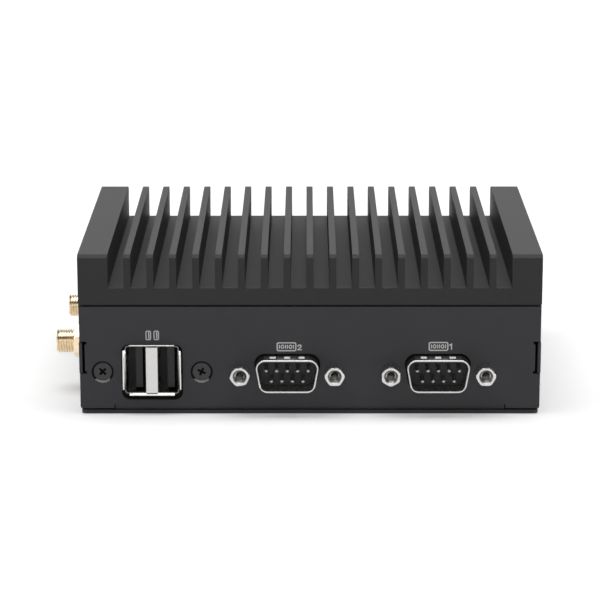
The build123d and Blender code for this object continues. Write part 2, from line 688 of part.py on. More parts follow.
def make_port_insert():
    half_x = PORT_INNER_WIDTH / 2
    half_z = PORT_SLOT_HEIGHT / 2
    back = PORT_DEPTH - PORT_WALL
    outline = RectangleRounded(2 * half_x, 2 * half_z, PORT_CORNER + INSERT_CLEARANCE)
    insert = along_y(outline, back - TONGUE_ROOT, back)
    tip = TONGUE_RECESS - PORT_REACH
    for edge in slot_edges():
        left = edge + TONGUE_OFFSET
        tongue_half = TONGUE_HEIGHT / 2
        right = left + TONGUE_THICKNESS
        insert += block(left, right, tip, back - TONGUE_ROOT, -tongue_half, tongue_half)
    return PLACES["front"] * Pos(PORT_X, 0, PORT_Z) * insert


def make_port_contacts():
    tip = TONGUE_RECESS - PORT_REACH
    start = tip + CONTACT_WIDTH / 2
    strips = []
    for edge in slot_edges():
        face = edge + TONGUE_OFFSET
        for index in range(CONTACT_COUNT):
            z = (index - (CONTACT_COUNT - 1) / 2) * CONTACT_PITCH
            strip = block(face - CONTACT_THICKNESS, face, start, start + CONTACT_LENGTH, -0.5, 0.5)
            strips.append(PLACES["front"] * Pos(PORT_X, 0, PORT_Z + z) * strip)
    return group(strips)


def make_port_bracket():
    window_x = PORT_INNER_WIDTH + 2 * PORT_WALL + 2 * CUTOUT_CLEARANCE
    window_z = PORT_SLOT_HEIGHT + 2 * PORT_WALL + 2 * CUTOUT_CLEARANCE
    frame = Pos(0, PORT_Z) * Rectangle(window_x + 2 * BRACKET_RIM, window_z + 2 * BRACKET_RIM)
    ears = Pos(0, AXIS_Z) * SlotCenterToCenter(PORT_SCREW_SPACING, 2 * BRACKET_EAR_RADIUS)
    outline = frame + ears - Pos(0, PORT_Z) * Rectangle(window_x, window_z)
    for side in (-1, 1):
        tapped = Circle(SMALL_RADIUS + THREAD_CLEARANCE)
        outline -= Pos(side * PORT_SCREW_SPACING / 2, AXIS_Z) * tapped
    plate = along_y(outline, PANEL_SHEET, PANEL_SHEET + BRACKET_SHEET)
    return PLACES["front"] * Pos(PORT_X, 0, 0) * plate


def make_panel_screws():
    head_height = PANEL_SHEET - SMALL_HEAD_RECESS
    screws = []
    for side, turn in ((-1, 45.0), (1, 25.0)):
        screw = flat_head_screw(
            SMALL_HEAD_RADIUS, head_height, SMALL_RADIUS, SMALL_SCREW_LENGTH, turn
        )
        x = PORT_X + side * PORT_SCREW_SPACING / 2
        place = PLACES["front"] * Pos(x, SMALL_HEAD_RECESS, AXIS_Z) * Rot(-90, 0, 0)
        screws.append(place * screw)
    return group(screws)


# Serial ports: the outline of the shell, wide side up, grown or shrunk by a margin
def d_outline(margin):
    half_height = SERIAL_HEIGHT / 2
    top = SERIAL_WIDTH / 2
    bottom = top - SERIAL_HEIGHT * tangent(SERIAL_SLOPE)
    points = [(-top, half_height), (top, half_height), (bottom, -half_height), (-bottom, -half_height)]
    face = make_face(Polyline(*points, close=True))
    rounded = fillet(face.vertices(), SERIAL_CORNER)
    return offset(rounded, amount=margin) if margin else rounded


def tangent(degrees):
    side = Vector(1, 0).rotate(Axis.Z, degrees)
    return side.Y / side.X


def make_serial_shell(x):
    front = -SERIAL_REACH
    back = PANEL_SHEET + SERIAL_SHEET
    plate = Rectangle(SERIAL_FLANGE_WIDTH, SERIAL_FLANGE_HEIGHT)
    shell = along_y(plate, PANEL_SHEET, back)
    shell += along_y(d_outline(0), front, PANEL_SHEET)
    shell -= along_y(d_outline(-SERIAL_WALL), front, back)
    for index in range(DIMPLE_COUNT):
        dimple_x = (index - (DIMPLE_COUNT - 1) / 2) * DIMPLE_PITCH
        roller = Rot(0, 90, 0) * Cylinder(DIMPLE_RADIUS, DIMPLE_WIDTH)
        for side in (-1, 1):
            roller_z = side * (SERIAL_HEIGHT / 2 + DIMPLE_RADIUS - DIMPLE_DEPTH)
            shell -= Pos(dimple_x, front + DIMPLE_FROM_RIM, roller_z) * roller
    for side in (-1, 1):
        shell -= rod_y(side * JACK_SPACING / 2, 0, PANEL_SHEET, back, JACK_HOLE_RADIUS)
    return PLACES["front"] * Pos(x, 0, AXIS_Z) * shell


def pin_places():
    rows = ((WIDE_ROW_PINS, 1), (NARROW_ROW_PINS, -1))
    return [
        ((index - (count - 1) / 2) * PIN_PITCH, row * PIN_ROW_SPACING / 2)
        for count, row in rows
        for index in range(count)
    ]


def make_serial_insert(x):
    face = PIN_TIP_RECESS - SERIAL_REACH + PIN_LENGTH
    flange_back = PANEL_SHEET + SERIAL_SHEET
    block_back = flange_back + SERIAL_BLOCK_DEPTH
    body_back = SERIAL_BODY_BACK
    floor = -CONNECTOR_AXIS_HEIGHT
    half = SERIAL_FLANGE_WIDTH / 2
    body_half = SERIAL_BODY_WIDTH / 2
    insert = along_y(d_outline(-SERIAL_WALL - INSERT_CLEARANCE), face, flange_back)
    insert += block(-half, half, flange_back, block_back, floor, SERIAL_FLANGE_HEIGHT / 2)
    insert += block(-body_half, body_half, block_back, body_back, floor, floor + SERIAL_BODY_HEIGHT)
    for pin_x, pin_z in pin_places():
        insert -= rod_y(pin_x, pin_z, face, body_back, PIN_RADIUS + THREAD_CLEARANCE)
    for side in (-1, 1):
        stud_hole = JACK_STUD_RADIUS + THREAD_CLEARANCE
        insert -= rod_y(side * JACK_SPACING / 2, 0, flange_back, block_back, stud_hole)
    return PLACES["front"] * Pos(x, 0, AXIS_Z) * insert


def make_serial_pins(x):
    tip = PIN_TIP_RECESS - SERIAL_REACH
    pins = []
    for pin_x, pin_z in pin_places():
        reach = PIN_ROW_SPACING if pin_z > 0 else 0
        leg_y = SERIAL_BODY_BACK + PIN_LEG_GAP + reach
        half = PIN_LEG / 2
        pin = Pos(pin_x, 0, pin_z) * turned_y([
            (0, tip),
            (PIN_RADIUS - PIN_TIP_CHAMFER, tip),
            (PIN_RADIUS, tip + PIN_TIP_CHAMFER),
            (PIN_RADIUS, leg_y),
            (0, leg_y),
        ])
        pin += block(pin_x - half, pin_x + half, leg_y - half, leg_y + half, -CONNECTOR_AXIS_HEIGHT, pin_z)
        pins.append(PLACES["front"] * Pos(x, 0, AXIS_Z) * pin)
    return group(pins)


def make_jack_screws():
    places = [SERIAL_X[name] + side * JACK_SPACING / 2 for name in ("2", "1") for side in (-1, 1)]
    stud_end = PANEL_SHEET + SERIAL_SHEET + SERIAL_BLOCK_DEPTH
    screws = []
    for x, turn in zip(places, JACK_TURNS):
        jack = hex_y(-JACK_LENGTH, 0, JACK_FLATS, turn)
        jack -= rod_y(0, 0, -JACK_LENGTH, JACK_BORE_DEPTH - JACK_LENGTH, JACK_BORE_RADIUS)
        jack += rod_y(0, 0, 0, stud_end, JACK_STUD_RADIUS)
        screws.append(PLACES["front"] * Pos(x, 0, AXIS_Z) * jack)
    return group(screws)


# Antenna jacks, their nuts and washers, in the left wall's own frame
def on_jack(side):
    return PLACES["left"] * Pos(side * ANTENNA_SPACING / 2, 0, ANTENNA_HEIGHT)


def make_antenna_jack(side):
    tip = -ANTENNA_REACH
    nut_face = -ANTENNA_WASHER_THICKNESS - ANTENNA_NUT_THICKNESS
    shoulder_end = SIDE_SHEET + ANTENNA_SHOULDER_THICKNESS
    ferrule_end = shoulder_end + ANTENNA_FERRULE_LENGTH
    jack = turned_y([
        (0, tip),
        (ANTENNA_THREAD_RADIUS - ANTENNA_TIP_CHAMFER, tip),
        (ANTENNA_THREAD_RADIUS, tip + ANTENNA_TIP_CHAMFER),
        (ANTENNA_THREAD_RADIUS, nut_face),
        (ANTENNA_NECK_RADIUS, nut_face),
        (ANTENNA_NECK_RADIUS, SIDE_SHEET),
        (ANTENNA_FERRULE_RADIUS, SIDE_SHEET),
        (ANTENNA_FERRULE_RADIUS, ferrule_end),
        (0, ferrule_end),
    ])
    jack += hex_y(SIDE_SHEET, shoulder_end, ANTENNA_SHOULDER_FLATS)
    jack -= rod_y(0, 0, tip, shoulder_end - ANTENNA_BORE_FLOOR, ANTENNA_BORE_RADIUS)
    return on_jack(side) * jack


def make_antenna_insulators():
    end = SIDE_SHEET + ANTENNA_SHOULDER_THICKNESS - ANTENNA_BORE_FLOOR
    ring = rod_y(0, 0, -ANTENNA_REACH, end, ANTENNA_BORE_RADIUS - THREAD_CLEARANCE)
    ring -= rod_y(0, 0, -ANTENNA_REACH, end, ANTENNA_CONTACT_RADIUS + THREAD_CLEARANCE)
    return group(on_jack(side) * ring for side in (1, -1))


def make_antenna_contacts():
    end = SIDE_SHEET + ANTENNA_SHOULDER_THICKNESS - ANTENNA_BORE_FLOOR
    contact = rod_y(0, 0, -ANTENNA_REACH, end, ANTENNA_CONTACT_RADIUS)
    contact -= rod_y(0, 0, -ANTENNA_REACH, 0, ANTENNA_CONTACT_BORE)
    return group(on_jack(side) * contact for side in (1, -1))


def make_antenna_washers():
    washer = rod_y(0, 0, -ANTENNA_WASHER_THICKNESS, 0, ANTENNA_WASHER_RADIUS)
    washer -= rod_y(0, 0, -ANTENNA_WASHER_THICKNESS, 0, ANTENNA_NECK_RADIUS + THREAD_CLEARANCE)
    return group(on_jack(side) * washer for side in (1, -1))


def make_antenna_nuts():
    back = -ANTENNA_WASHER_THICKNESS
    front = back - ANTENNA_NUT_THICKNESS
    nut = hex_y(front, back, ANTENNA_NUT_FLATS, ANTENNA_NUT_TURN)
    nut -= rod_y(0, 0, front, back, ANTENNA_NECK_RADIUS + THREAD_CLEARANCE)
    return group(on_jack(side) * nut for side in (1, -1))


# Antenna leads run from the jacks' ferrules to two plugs on the wireless card
LEAD_END_Z = CARD_BOTTOM + CARD_THICKNESS + LEAD_PLUG_HEIGHT / 2
FERRULE_END_X = SIDE_SHEET + ANTENNA_SHOULDER_THICKNESS + ANTENNA_FERRULE_LENGTH - WIDTH / 2
PLUG_X = WIRELESS_X + WIRELESS_LENGTH - LEAD_PLUG_FROM_END
SIDES = {"front": -1, "rear": 1}


def plug_y(name):
    return WIRELESS_Y + SIDES[name] * LEAD_PLUG_SPACING / 2


def lead_route(name):
    run = LEAD_RUNS[name]
    jack_y = SIDES[name] * ANTENNA_SPACING / 2
    return [
        Vector(FERRULE_END_X, jack_y, ANTENNA_HEIGHT),
        Vector(FERRULE_END_X + run, jack_y, ANTENNA_HEIGHT),
        Vector(PLUG_X - run, plug_y(name), LEAD_END_Z + LEAD_DROP),
        Vector(PLUG_X, plug_y(name), LEAD_END_Z),
    ]


def make_lead(name):
    points = lead_route(name)
    direction = (points[-1] - points[-2]).normalized()
    points[-1] = points[-1] - direction * LEAD_PLUG_RADIUS
    radii = []
    for before, corner, after in zip(points, points[1:], points[2:]):
        arrive, leave = corner - before, after - corner
        half_turn = arrive.get_angle(leave) / 2
        shorter = min(arrive.length, leave.length)
        radii.append(LEAD_ARC_SHARE * shorter / tangent(half_turn))
    print(name, "lead radii", [round(radius, 1) for radius in radii])
    path = FilletPolyline(*points, radius=radii)
    start = Plane(origin=path @ 0, z_dir=path % 0)
    return sweep(start * Circle(LEAD_DIAMETER / 2), path=path)


def make_lead_plugs():
    base = CARD_BOTTOM + CARD_THICKNESS
    top = base + LEAD_PLUG_HEIGHT
    return group(rod_z(PLUG_X, plug_y(name), base, top, LEAD_PLUG_RADIUS) for name in SIDES)


# Cards lie along +x from their socket before they are placed
def card_board(length):
    half = CARD_WIDTH / 2
    top = CARD_BOTTOM + CARD_THICKNESS
    card = block(-CARD_GRIP, length - CARD_GRIP, -half, half, CARD_BOTTOM, top)
    return card - rod_z(length - CARD_GRIP, 0, CARD_BOTTOM, top, CARD_SCREW_RADIUS + HEAD_CLEARANCE)


def card_socket():
    half = CARD_SOCKET_HALF
    gap = CARD_SLOT_CLEARANCE
    card_half = CARD_WIDTH / 2 + gap
    top = BOARD_TOP + CARD_SOCKET_HEIGHT
    socket = block(-CARD_SOCKET_DEPTH, 0, -half, half, BOARD_TOP, top)
    card_top = CARD_BOTTOM + CARD_THICKNESS + gap
    return socket - block(-CARD_GRIP - gap, 0, -card_half, card_half, CARD_BOTTOM - gap, card_top)


def card_post(length):
    post = rod_z(length - CARD_GRIP, 0, BOARD_TOP, CARD_BOTTOM, CARD_POST_RADIUS)
    return post - rod_z(length - CARD_GRIP, 0, BOARD_TOP, CARD_BOTTOM, CARD_SCREW_RADIUS + THREAD_CLEARANCE)


def card_screw(length):
    top = CARD_BOTTOM + CARD_THICKNESS
    x = length - CARD_GRIP
    head = rod_z(x, 0, top, top + CARD_SCREW_HEAD_HEIGHT, CARD_SCREW_HEAD_RADIUS)
    return head + rod_z(x, 0, top - CARD_SCREW_LENGTH, top, CARD_SCREW_RADIUS)


WIRELESS_PLACE = Pos(WIRELESS_X, WIRELESS_Y, 0)
STORAGE_PLACE = Pos(STORAGE_X, STORAGE_Y, 0) * Rot(0, 0, -90)


def make_card_posts():
    return group([
        WIRELESS_PLACE * card_post(WIRELESS_LENGTH),
        STORAGE_PLACE * card_post(STORAGE_LENGTH),
    ])


def make_card_screws():
    return group([
        WIRELESS_PLACE * card_screw(WIRELESS_LENGTH),
        STORAGE_PLACE * card_screw(STORAGE_LENGTH),
    ])


# Coin cell and holder
def make_cell_holder():
    half = CELL_HOLDER_HALF
    holder = block(-half, half, -half, half, BOARD_TOP, BOARD_TOP + CELL_HOLDER_HEIGHT)
    floor = BOARD_TOP + CELL_HOLDER_FLOOR
    holder -= rod_z(0, 0, floor, BOARD_TOP + CELL_HOLDER_HEIGHT, CELL_RADIUS + CELL_CLEARANCE)
    return Pos(CELL_X, CELL_Y, 0) * holder


def make_coin_cell():
    floor = BOARD_TOP + CELL_HOLDER_FLOOR
    return rod_z(CELL_X, CELL_Y, floor, floor + CELL_HEIGHT, CELL_RADIUS)


# Parts soldered on the board
def make_memory_chips():
    beside = BLOCK_SIZE / 2 + MEMORY_GAP + MEMORY_WIDTH / 2
    z = BOARD_TOP + MEMORY_HEIGHT / 2
    chips = []
    for side in (-1, 1):
        along = side * MEMORY_PITCH / 2
        chips.append(Pos(beside, along, z) * Box(MEMORY_WIDTH, MEMORY_LENGTH, MEMORY_HEIGHT))
        chips.append(Pos(along, -beside, z) * Box(MEMORY_LENGTH, MEMORY_WIDTH, MEMORY_HEIGHT))
    return group(chips)


def make_power_coils():
    z = BOARD_TOP + COIL_HEIGHT / 2
    coil = Box(COIL_SIZE, COIL_SIZE, COIL_HEIGHT)
    places = [(index - (COIL_COUNT - 1) / 2) * COIL_PITCH for index in range(COIL_COUNT)]
    return group(Pos(COIL_X, y, z) * coil for y in places)


def make_capacitors():
    y = DEPTH / 2 - CAPACITOR_FROM_REAR
    places = [CAPACITOR_FIRST_X + index * CAPACITOR_PITCH for index in range(CAPACITOR_COUNT)]
    top = BOARD_TOP + CAPACITOR_HEIGHT
    return group(rod_z(x, y, BOARD_TOP, top, CAPACITOR_RADIUS) for x in places)


# Rear panel sockets, in the rear panel's own frame
def make_network_shell(x):
    half = NETWORK_WIDTH / 2
    wall = NETWORK_WALL
    front = -NETWORK_REACH
    shell = block(-half, half, front, NETWORK_DEPTH, 0, NETWORK_HEIGHT)
    shell -= block(-half + wall, half - wall, front + wall, NETWORK_DEPTH - wall, 0, NETWORK_HEIGHT - wall)
    shell -= Pos(0, front, 0) * network_mouth(2 * wall)
    return PLACES["rear"] * Pos(x, 0, BOARD_TOP) * shell


def network_mouth(depth):
    half = NETWORK_MOUTH_WIDTH / 2
    latch = LATCH_WIDTH / 2
    lift = NETWORK_MOUTH_LIFT
    mouth = block(-half, half, 0, depth, lift, lift + NETWORK_MOUTH_HEIGHT)
    return mouth + block(-latch, latch, 0, depth, lift - LATCH_HEIGHT, lift)


def make_network_insert(x):
    half = NETWORK_WIDTH / 2 - NETWORK_WALL
    front = NETWORK_WALL - NETWORK_REACH
    back = NETWORK_DEPTH - NETWORK_WALL
    insert = block(-half, half, front, back, 0, NETWORK_HEIGHT - NETWORK_WALL)
    insert -= Pos(0, front, 0) * network_mouth(NETWORK_MOUTH_DEPTH)
    return PLACES["rear"] * Pos(x, 0, BOARD_TOP) * insert


def display_outline(margin):
    half = DISPLAY_WIDTH / 2 + margin
    high = DISPLAY_HEIGHT / 2 + margin
    points = [
        (-half, high),
        (half, high),
        (half, DISPLAY_SLANT - high),
        (half - DISPLAY_SLANT, -high),
        (DISPLAY_SLANT - half, -high),
        (-half, DISPLAY_SLANT - high),
    ]
    return make_face(Polyline(*points, close=True))


def make_display_shell(x):
    shell = along_y(display_outline(0), 0, DISPLAY_DEPTH)
    shell -= along_y(display_outline(-DISPLAY_WALL), 0, DISPLAY_DEPTH - DISPLAY_WALL)
    floor = -DISPLAY_HEIGHT / 2 - DISPLAY_LIFT
    leg_x = DISPLAY_WIDTH / 2 - DISPLAY_SLANT - DISPLAY_LEG / 2
    for side in (-1, 1):
        leg = Box(DISPLAY_LEG, DISPLAY_DEPTH / 2, DISPLAY_LIFT)
        shell += Pos(side * leg_x, DISPLAY_DEPTH / 2, floor + DISPLAY_LIFT / 2) * leg
    return PLACES["rear"] * Pos(x, 0, BOARD_TOP - floor) * shell


def make_display_insert(x):
    back = DISPLAY_DEPTH - DISPLAY_WALL
    half = DISPLAY_TONGUE_WIDTH / 2
    thick = DISPLAY_TONGUE_THICKNESS / 2
    insert = along_y(display_outline(-DISPLAY_WALL), back - DISPLAY_ROOT, back)
    insert += block(-half, half, DISPLAY_TONGUE_RECESS, back, -thick, thick)
    lift = DISPLAY_HEIGHT / 2 + DISPLAY_LIFT
    return PLACES["rear"] * Pos(x, 0, BOARD_TOP + lift) * insert


def make_inlet_body():
    half = INLET_WIDTH / 2
    body = block(-half, half, 0, INLET_DEPTH, 0, INLET_HEIGHT)
    body -= rod_y(0, INLET_HEIGHT / 2, 0, INLET_BORE_DEPTH, INLET_BORE_RADIUS)
    return PLACES["rear"] * Pos(INLET_X, 0, BOARD_TOP) * body


def make_inlet_pin():
    pin = rod_y(0, INLET_HEIGHT / 2, INLET_PIN_RECESS, INLET_BORE_DEPTH, INLET_PIN_RADIUS)
    return PLACES["rear"] * Pos(INLET_X, 0, BOARD_TOP) * pin


# Power button: the cap and the switch's plunger travel inwards together
def make_power_button():
    rim = PANEL_SHEET + BUTTON_RIM_GAP
    boss = rim + BUTTON_RIM_THICKNESS
    button = rod_y(0, 0, -BUTTON_REACH, rim, BUTTON_RADIUS)
    button += rod_y(0, 0, rim, boss, BUTTON_RIM_RADIUS)
    button += rod_y(0, 0, boss, boss + BUTTON_BOSS_LENGTH, BUTTON_BOSS_RADIUS)
    return PLACES["rear"] * Pos(BUTTON_X, 0, AXIS_Z) * button


PLUNGER_START = PANEL_SHEET + BUTTON_RIM_GAP + BUTTON_RIM_THICKNESS + BUTTON_BOSS_LENGTH
SWITCH_FRONT = PLUNGER_START + PLUNGER_SHOWN


def make_switch_plunger():
    plunger = rod_y(0, 0, PLUNGER_START, SWITCH_FRONT + PLUNGER_HELD, PLUNGER_RADIUS)
    return PLACES["rear"] * Pos(BUTTON_X, 0, AXIS_Z) * plunger


def make_button_switch():
    half = SWITCH_WIDTH / 2
    top = CONNECTOR_AXIS_HEIGHT + SWITCH_OVER_AXIS
    body = block(-half, half, SWITCH_FRONT, SWITCH_FRONT + SWITCH_DEPTH, 0, top)
    bore_end = SWITCH_FRONT + PLUNGER_HELD + BUTTON_TRAVEL + PLUNGER_SPARE
    bore_radius = PLUNGER_RADIUS + LIGHT_CLEARANCE
    body -= rod_y(0, CONNECTOR_AXIS_HEIGHT, SWITCH_FRONT, bore_end, bore_radius)
    return PLACES["rear"] * Pos(BUTTON_X, 0, BOARD_TOP) * body


def make_status_light():
    light = rod_y(0, 0, 0, PANEL_SHEET, LIGHT_RADIUS)
    light += rod_y(0, 0, PANEL_SHEET, PANEL_SHEET + LIGHT_RIM_THICKNESS, LIGHT_RIM_RADIUS)
    return PLACES["rear"] * Pos(LIGHT_X, 0, AXIS_Z) * light


def make_parts():
    jack_holes = (-ANTENNA_SPACING / 2, ANTENNA_SPACING / 2)
    parts = {
        "heatsink_cover": make_cover(),
        "front_panel": make_front_panel(),
        "rear_panel": make_rear_panel(),
        "left_side_wall": make_side_wall("left", jack_holes),
        "right_side_wall": make_side_wall("right", ()),
        "bottom_plate": make_bottom_plate(),
        "bottom_screws": make_bottom_screws(),
        "flange_screws": make_flange_screws(),
        "flange_nuts": make_flange_nuts(),
        "bracket_nuts": make_bracket_nuts(),
        "cover_posts": make_cover_posts(),
        "board_spacers": make_board_spacers(),
        "main_board": make_main_board(),
        "processor_package": make_processor(),
        "heat_block": make_heat_block(),
        "block_screws": make_block_screws(),
        "thermal_pad": make_thermal_pad(),
        "data_port_shell": make_port_shell(),
        "data_port_divider": make_port_divider(),
        "data_port_insert": make_port_insert(),
        "data_port_contacts": make_port_contacts(),
        "data_port_bracket": make_port_bracket(),
        "panel_screws": make_panel_screws(),
        "jack_screws": make_jack_screws(),
        "antenna_jack_front": make_antenna_jack(1),
        "antenna_jack_rear": make_antenna_jack(-1),
        "antenna_insulators": make_antenna_insulators(),
        "antenna_contacts": make_antenna_contacts(),
        "antenna_washers": make_antenna_washers(),
        "antenna_nuts": make_antenna_nuts(),
        "antenna_lead_front": make_lead("front"),
        "antenna_lead_rear": make_lead("rear"),
        "lead_plugs": make_lead_plugs(),
        "wireless_card": WIRELESS_PLACE * card_board(WIRELESS_LENGTH),
        "wireless_card_socket": WIRELESS_PLACE * card_socket(),
        "storage_card": STORAGE_PLACE * card_board(STORAGE_LENGTH),
        "storage_card_socket": STORAGE_PLACE * card_socket(),
        "card_posts": make_card_posts(),
        "card_screws": make_card_screws(),
        "coin_cell_holder": make_cell_holder(),
        "coin_cell": make_coin_cell(),
        "memory_chips": make_memory_chips(),
        "power_coils": make_power_coils(),
        "capacitors": make_capacitors(),
        "power_inlet_body": make_inlet_body(),
        "power_inlet_pin": make_inlet_pin(),
        "power_button": make_power_button(),
        "switch_plunger": make_switch_plunger(),
        "button_switch": make_button_switch(),
        "status_light": make_status_light(),
    }
    for name, x in SERIAL_X.items():
        parts[f"serial_port_{name}_shell"] = make_serial_shell(x)
        parts[f"serial_port_{name}_insert"] = make_serial_insert(x)
        parts[f"serial_port_{name}_pins"] = make_serial_pins(x)
    parts["network_socket_shells"] = group(make_network_shell(x) for x in NETWORK_X)
    parts["network_socket_inserts"] = group(make_network_insert(x) for x in NETWORK_X)
    parts["display_socket_shells"] = group(make_display_shell(x) for x in DISPLAY_X)
    parts["display_socket_inserts"] = group(make_display_insert(x) for x in DISPLAY_X)
    return parts


def main():
    os.makedirs("parts", exist_ok=True)
    for name, shape in make_parts().items():
        export_step(shape, f"parts/{name}.step")


main()
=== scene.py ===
"""The looks of a fanless industrial computer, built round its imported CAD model.

The axes are the CAD model's: +X to the right seen from the front, -Y out of the front panel, +Z up.
Shapes are made in millimetres, as the CAD model is, and become metres when they turn into objects.
"""

import json
import logging
import math
from collections.abc import Callable, Iterable, Sequence
from dataclasses import dataclass
from enum import Enum
from functools import cache

import bmesh
import bpy
from mathutils import Matrix, Vector


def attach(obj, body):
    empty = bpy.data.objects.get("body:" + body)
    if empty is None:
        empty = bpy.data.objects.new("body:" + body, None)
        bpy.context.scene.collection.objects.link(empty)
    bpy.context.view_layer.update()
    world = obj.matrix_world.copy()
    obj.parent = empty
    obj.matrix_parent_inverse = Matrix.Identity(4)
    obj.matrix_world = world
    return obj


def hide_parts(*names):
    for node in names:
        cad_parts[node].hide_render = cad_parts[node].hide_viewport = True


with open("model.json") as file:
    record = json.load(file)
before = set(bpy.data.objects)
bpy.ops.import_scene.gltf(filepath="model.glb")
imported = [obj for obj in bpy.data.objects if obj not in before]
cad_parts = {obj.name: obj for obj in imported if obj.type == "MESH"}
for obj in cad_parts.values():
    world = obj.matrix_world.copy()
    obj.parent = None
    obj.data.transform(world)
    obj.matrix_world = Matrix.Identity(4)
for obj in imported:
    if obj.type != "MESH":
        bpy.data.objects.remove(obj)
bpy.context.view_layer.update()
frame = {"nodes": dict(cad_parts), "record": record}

log = logging.getLogger("computer")

Point2 = tuple[float, float]
Point3 = tuple[float, float, float]
Colour = tuple[float, float, float]

MILLIMETRE = 0.001
ROUND_STEPS = 48
# Corners nearer than this, in millimetres, are one: in shapes made here, and in copies of CAD nodes.
WELD = 1e-4
CAD_WELD = 0.002
# Edges with a smaller angle shade smooth, and CAD triangles with a smaller one are one flat face.
SMOOTH_BELOW = math.radians(24)
FLAT_BELOW = math.radians(0.4)
# A point nearer than FLUSH to a plane, in millimetres, lies in it, and one past it by CLEAR is clear of it.
FLUSH = 0.01
CLEAR = 0.1
# A normal with a larger part than this along an axis leans that way.
LEAN = 0.1


class Body(Enum):
    """The CAD bodies that a piece can ride on."""

    CASE = "case"
    BUTTON = "power_button"


class Wall(Enum):
    """A wall of the case, as its x and y in millimetres and its turn in degrees.

    A wall's own frame has x to the right seen from outside, y inwards and z up.
    """

    FRONT = (0.0, -43.3, 0.0)
    REAR = (0.0, 43.3, 180.0)
    LEFT = (-61.0, 0.0, -90.0)

    @property
    def place(self) -> Matrix:
        """The matrix from the wall's own frame to the model's."""
        x, y, turn = self.value
        return Matrix.Translation((x, y, 0.0)) @ Matrix.Rotation(math.radians(turn), 4, "Z")

    def axis(self, x: float, z: float, y: float = 0.0, turn: float = 0.0) -> Matrix:
        """The place of a turned part whose own z axis points inwards through the wall.

        Args:
            x: Its place to the right on the wall.
            z: Its height.
            y: How far in it starts, negative outside.
            turn: Its turn about its own axis, in degrees.

        Returns:
            The matrix from the part's own frame to the model's.
        """
        inwards = Matrix.Rotation(math.radians(-90), 4, "X")
        about = Matrix.Rotation(math.radians(turn), 4, "Z")
        return self.place @ Matrix.Translation((x, y, z)) @ inwards @ about


# Finishes


class NodeCanvas:
    """Places shader nodes in one node tree and links them.

    Attributes:
        MIX_INPUTS: The places of a Mix node's factor and two colours among its inputs.
        MIX_OUTPUT: The place of the mixed colour among its outputs.
    """

    MIX_INPUTS = (0, 6, 7)
    MIX_OUTPUT = 2

    def __init__(self, tree: bpy.types.NodeTree) -> None:
        """Takes the tree to fill."""
        self.tree = tree

    def add(self, kind: str, **settings: object) -> bpy.types.Node:
        """Adds a node and sets its properties and unlinked inputs.

        Args:
            kind: The node's type.
            settings: Properties of the node by name; any other name is one of its inputs, with
                underscores for spaces. A socket as the value is linked.

        Returns:
            The new node.
        """
        node = self.tree.nodes.new(kind)
        inputs = {}
        for name, value in settings.items():
            if hasattr(node, name):
                setattr(node, name, value)
            else:
                inputs[name.replace("_", " ")] = value
        for name, value in inputs.items():
            self.feed(node.inputs[name], value)
        return node

    def feed(self, socket: bpy.types.NodeSocket, value: object) -> None:
        """Gives an input its value.

        Args:
            socket: The input.
            value: A socket, which is linked, or the input's own value.
        """
        if isinstance(value, bpy.types.NodeSocket):
            self.tree.links.new(value, socket)
        else:
            socket.default_value = value

    def maths(self, operation: str, first: object, second: object = 0.0) -> bpy.types.NodeSocket:
        """Adds a Math node.

        Args:
            operation: Its operation.
            first: Its first input, a socket or a number.
            second: Its second input.

        Returns:
            Its output.
        """
        node = self.add("ShaderNodeMath", operation=operation)
        self.feed(node.inputs[0], first)
        self.feed(node.inputs[1], second)
        return node.outputs[0]

    def spread(self, value: object, low: object, high: object) -> bpy.types.NodeSocket:
        """Returns a value from 0 to 1 spread between two others."""
        node = self.add("ShaderNodeMapRange", Value=value, To_Min=low, To_Max=high)
        return node.outputs["Result"]

    def mixed(self, factor: object, first: object, second: object) -> bpy.types.NodeSocket:
        """Adds a mix of two colours.

        Args:
            factor: The second colour's share, a socket or a number.
            first: The first colour.
            second: The second colour.

        Returns:
            The mixed colour.
        """
        node = self.add("ShaderNodeMix", data_type="RGBA")
        for index, value in zip(self.MIX_INPUTS, (factor, first, second)):
            self.feed(node.inputs[index], value)
        return node.outputs[self.MIX_OUTPUT]


class Effect:
    """A shader node group in the making, with named inputs and outputs."""

    def __init__(self, name: str, inputs: dict[str, tuple[str, object]], outputs: dict[str, str]) -> None:
        """Makes the group's sockets.

        Args:
            name: The group's name.
            inputs: Each input's type and default value, by name.
            outputs: Each output's type, by name.
        """
        self.tree = bpy.data.node_groups.new(name, "ShaderNodeTree")
        new_socket = self.tree.interface.new_socket
        for label, (kind, value) in inputs.items():
            socket = new_socket(name=label, in_out="INPUT", socket_type=f"NodeSocket{kind}")
            socket.default_value = value
        for label, kind in outputs.items():
            new_socket(name=label, in_out="OUTPUT", socket_type=f"NodeSocket{kind}")
        self.canvas = NodeCanvas(self.tree)
        self.given = self.canvas.add("NodeGroupInput").outputs
        self.result = self.canvas.add("NodeGroupOutput").inputs

    def noise(self, vector: object, size: object, detail: float = 2.0) -> bpy.types.NodeSocket:
        """Adds noise.

        Args:
            vector: The place at which it is read.
            size: The size of its lumps in millimetres.
            detail: Its detail.

        Returns:
            The noise as a value from 0 to 1.
        """
        scale = self.canvas.maths("DIVIDE", 1 / MILLIMETRE, size)
        node = self.canvas.add("ShaderNodeTexNoise", Vector=vector, Scale=scale, Detail=detail)
        return node.outputs["Fac"]


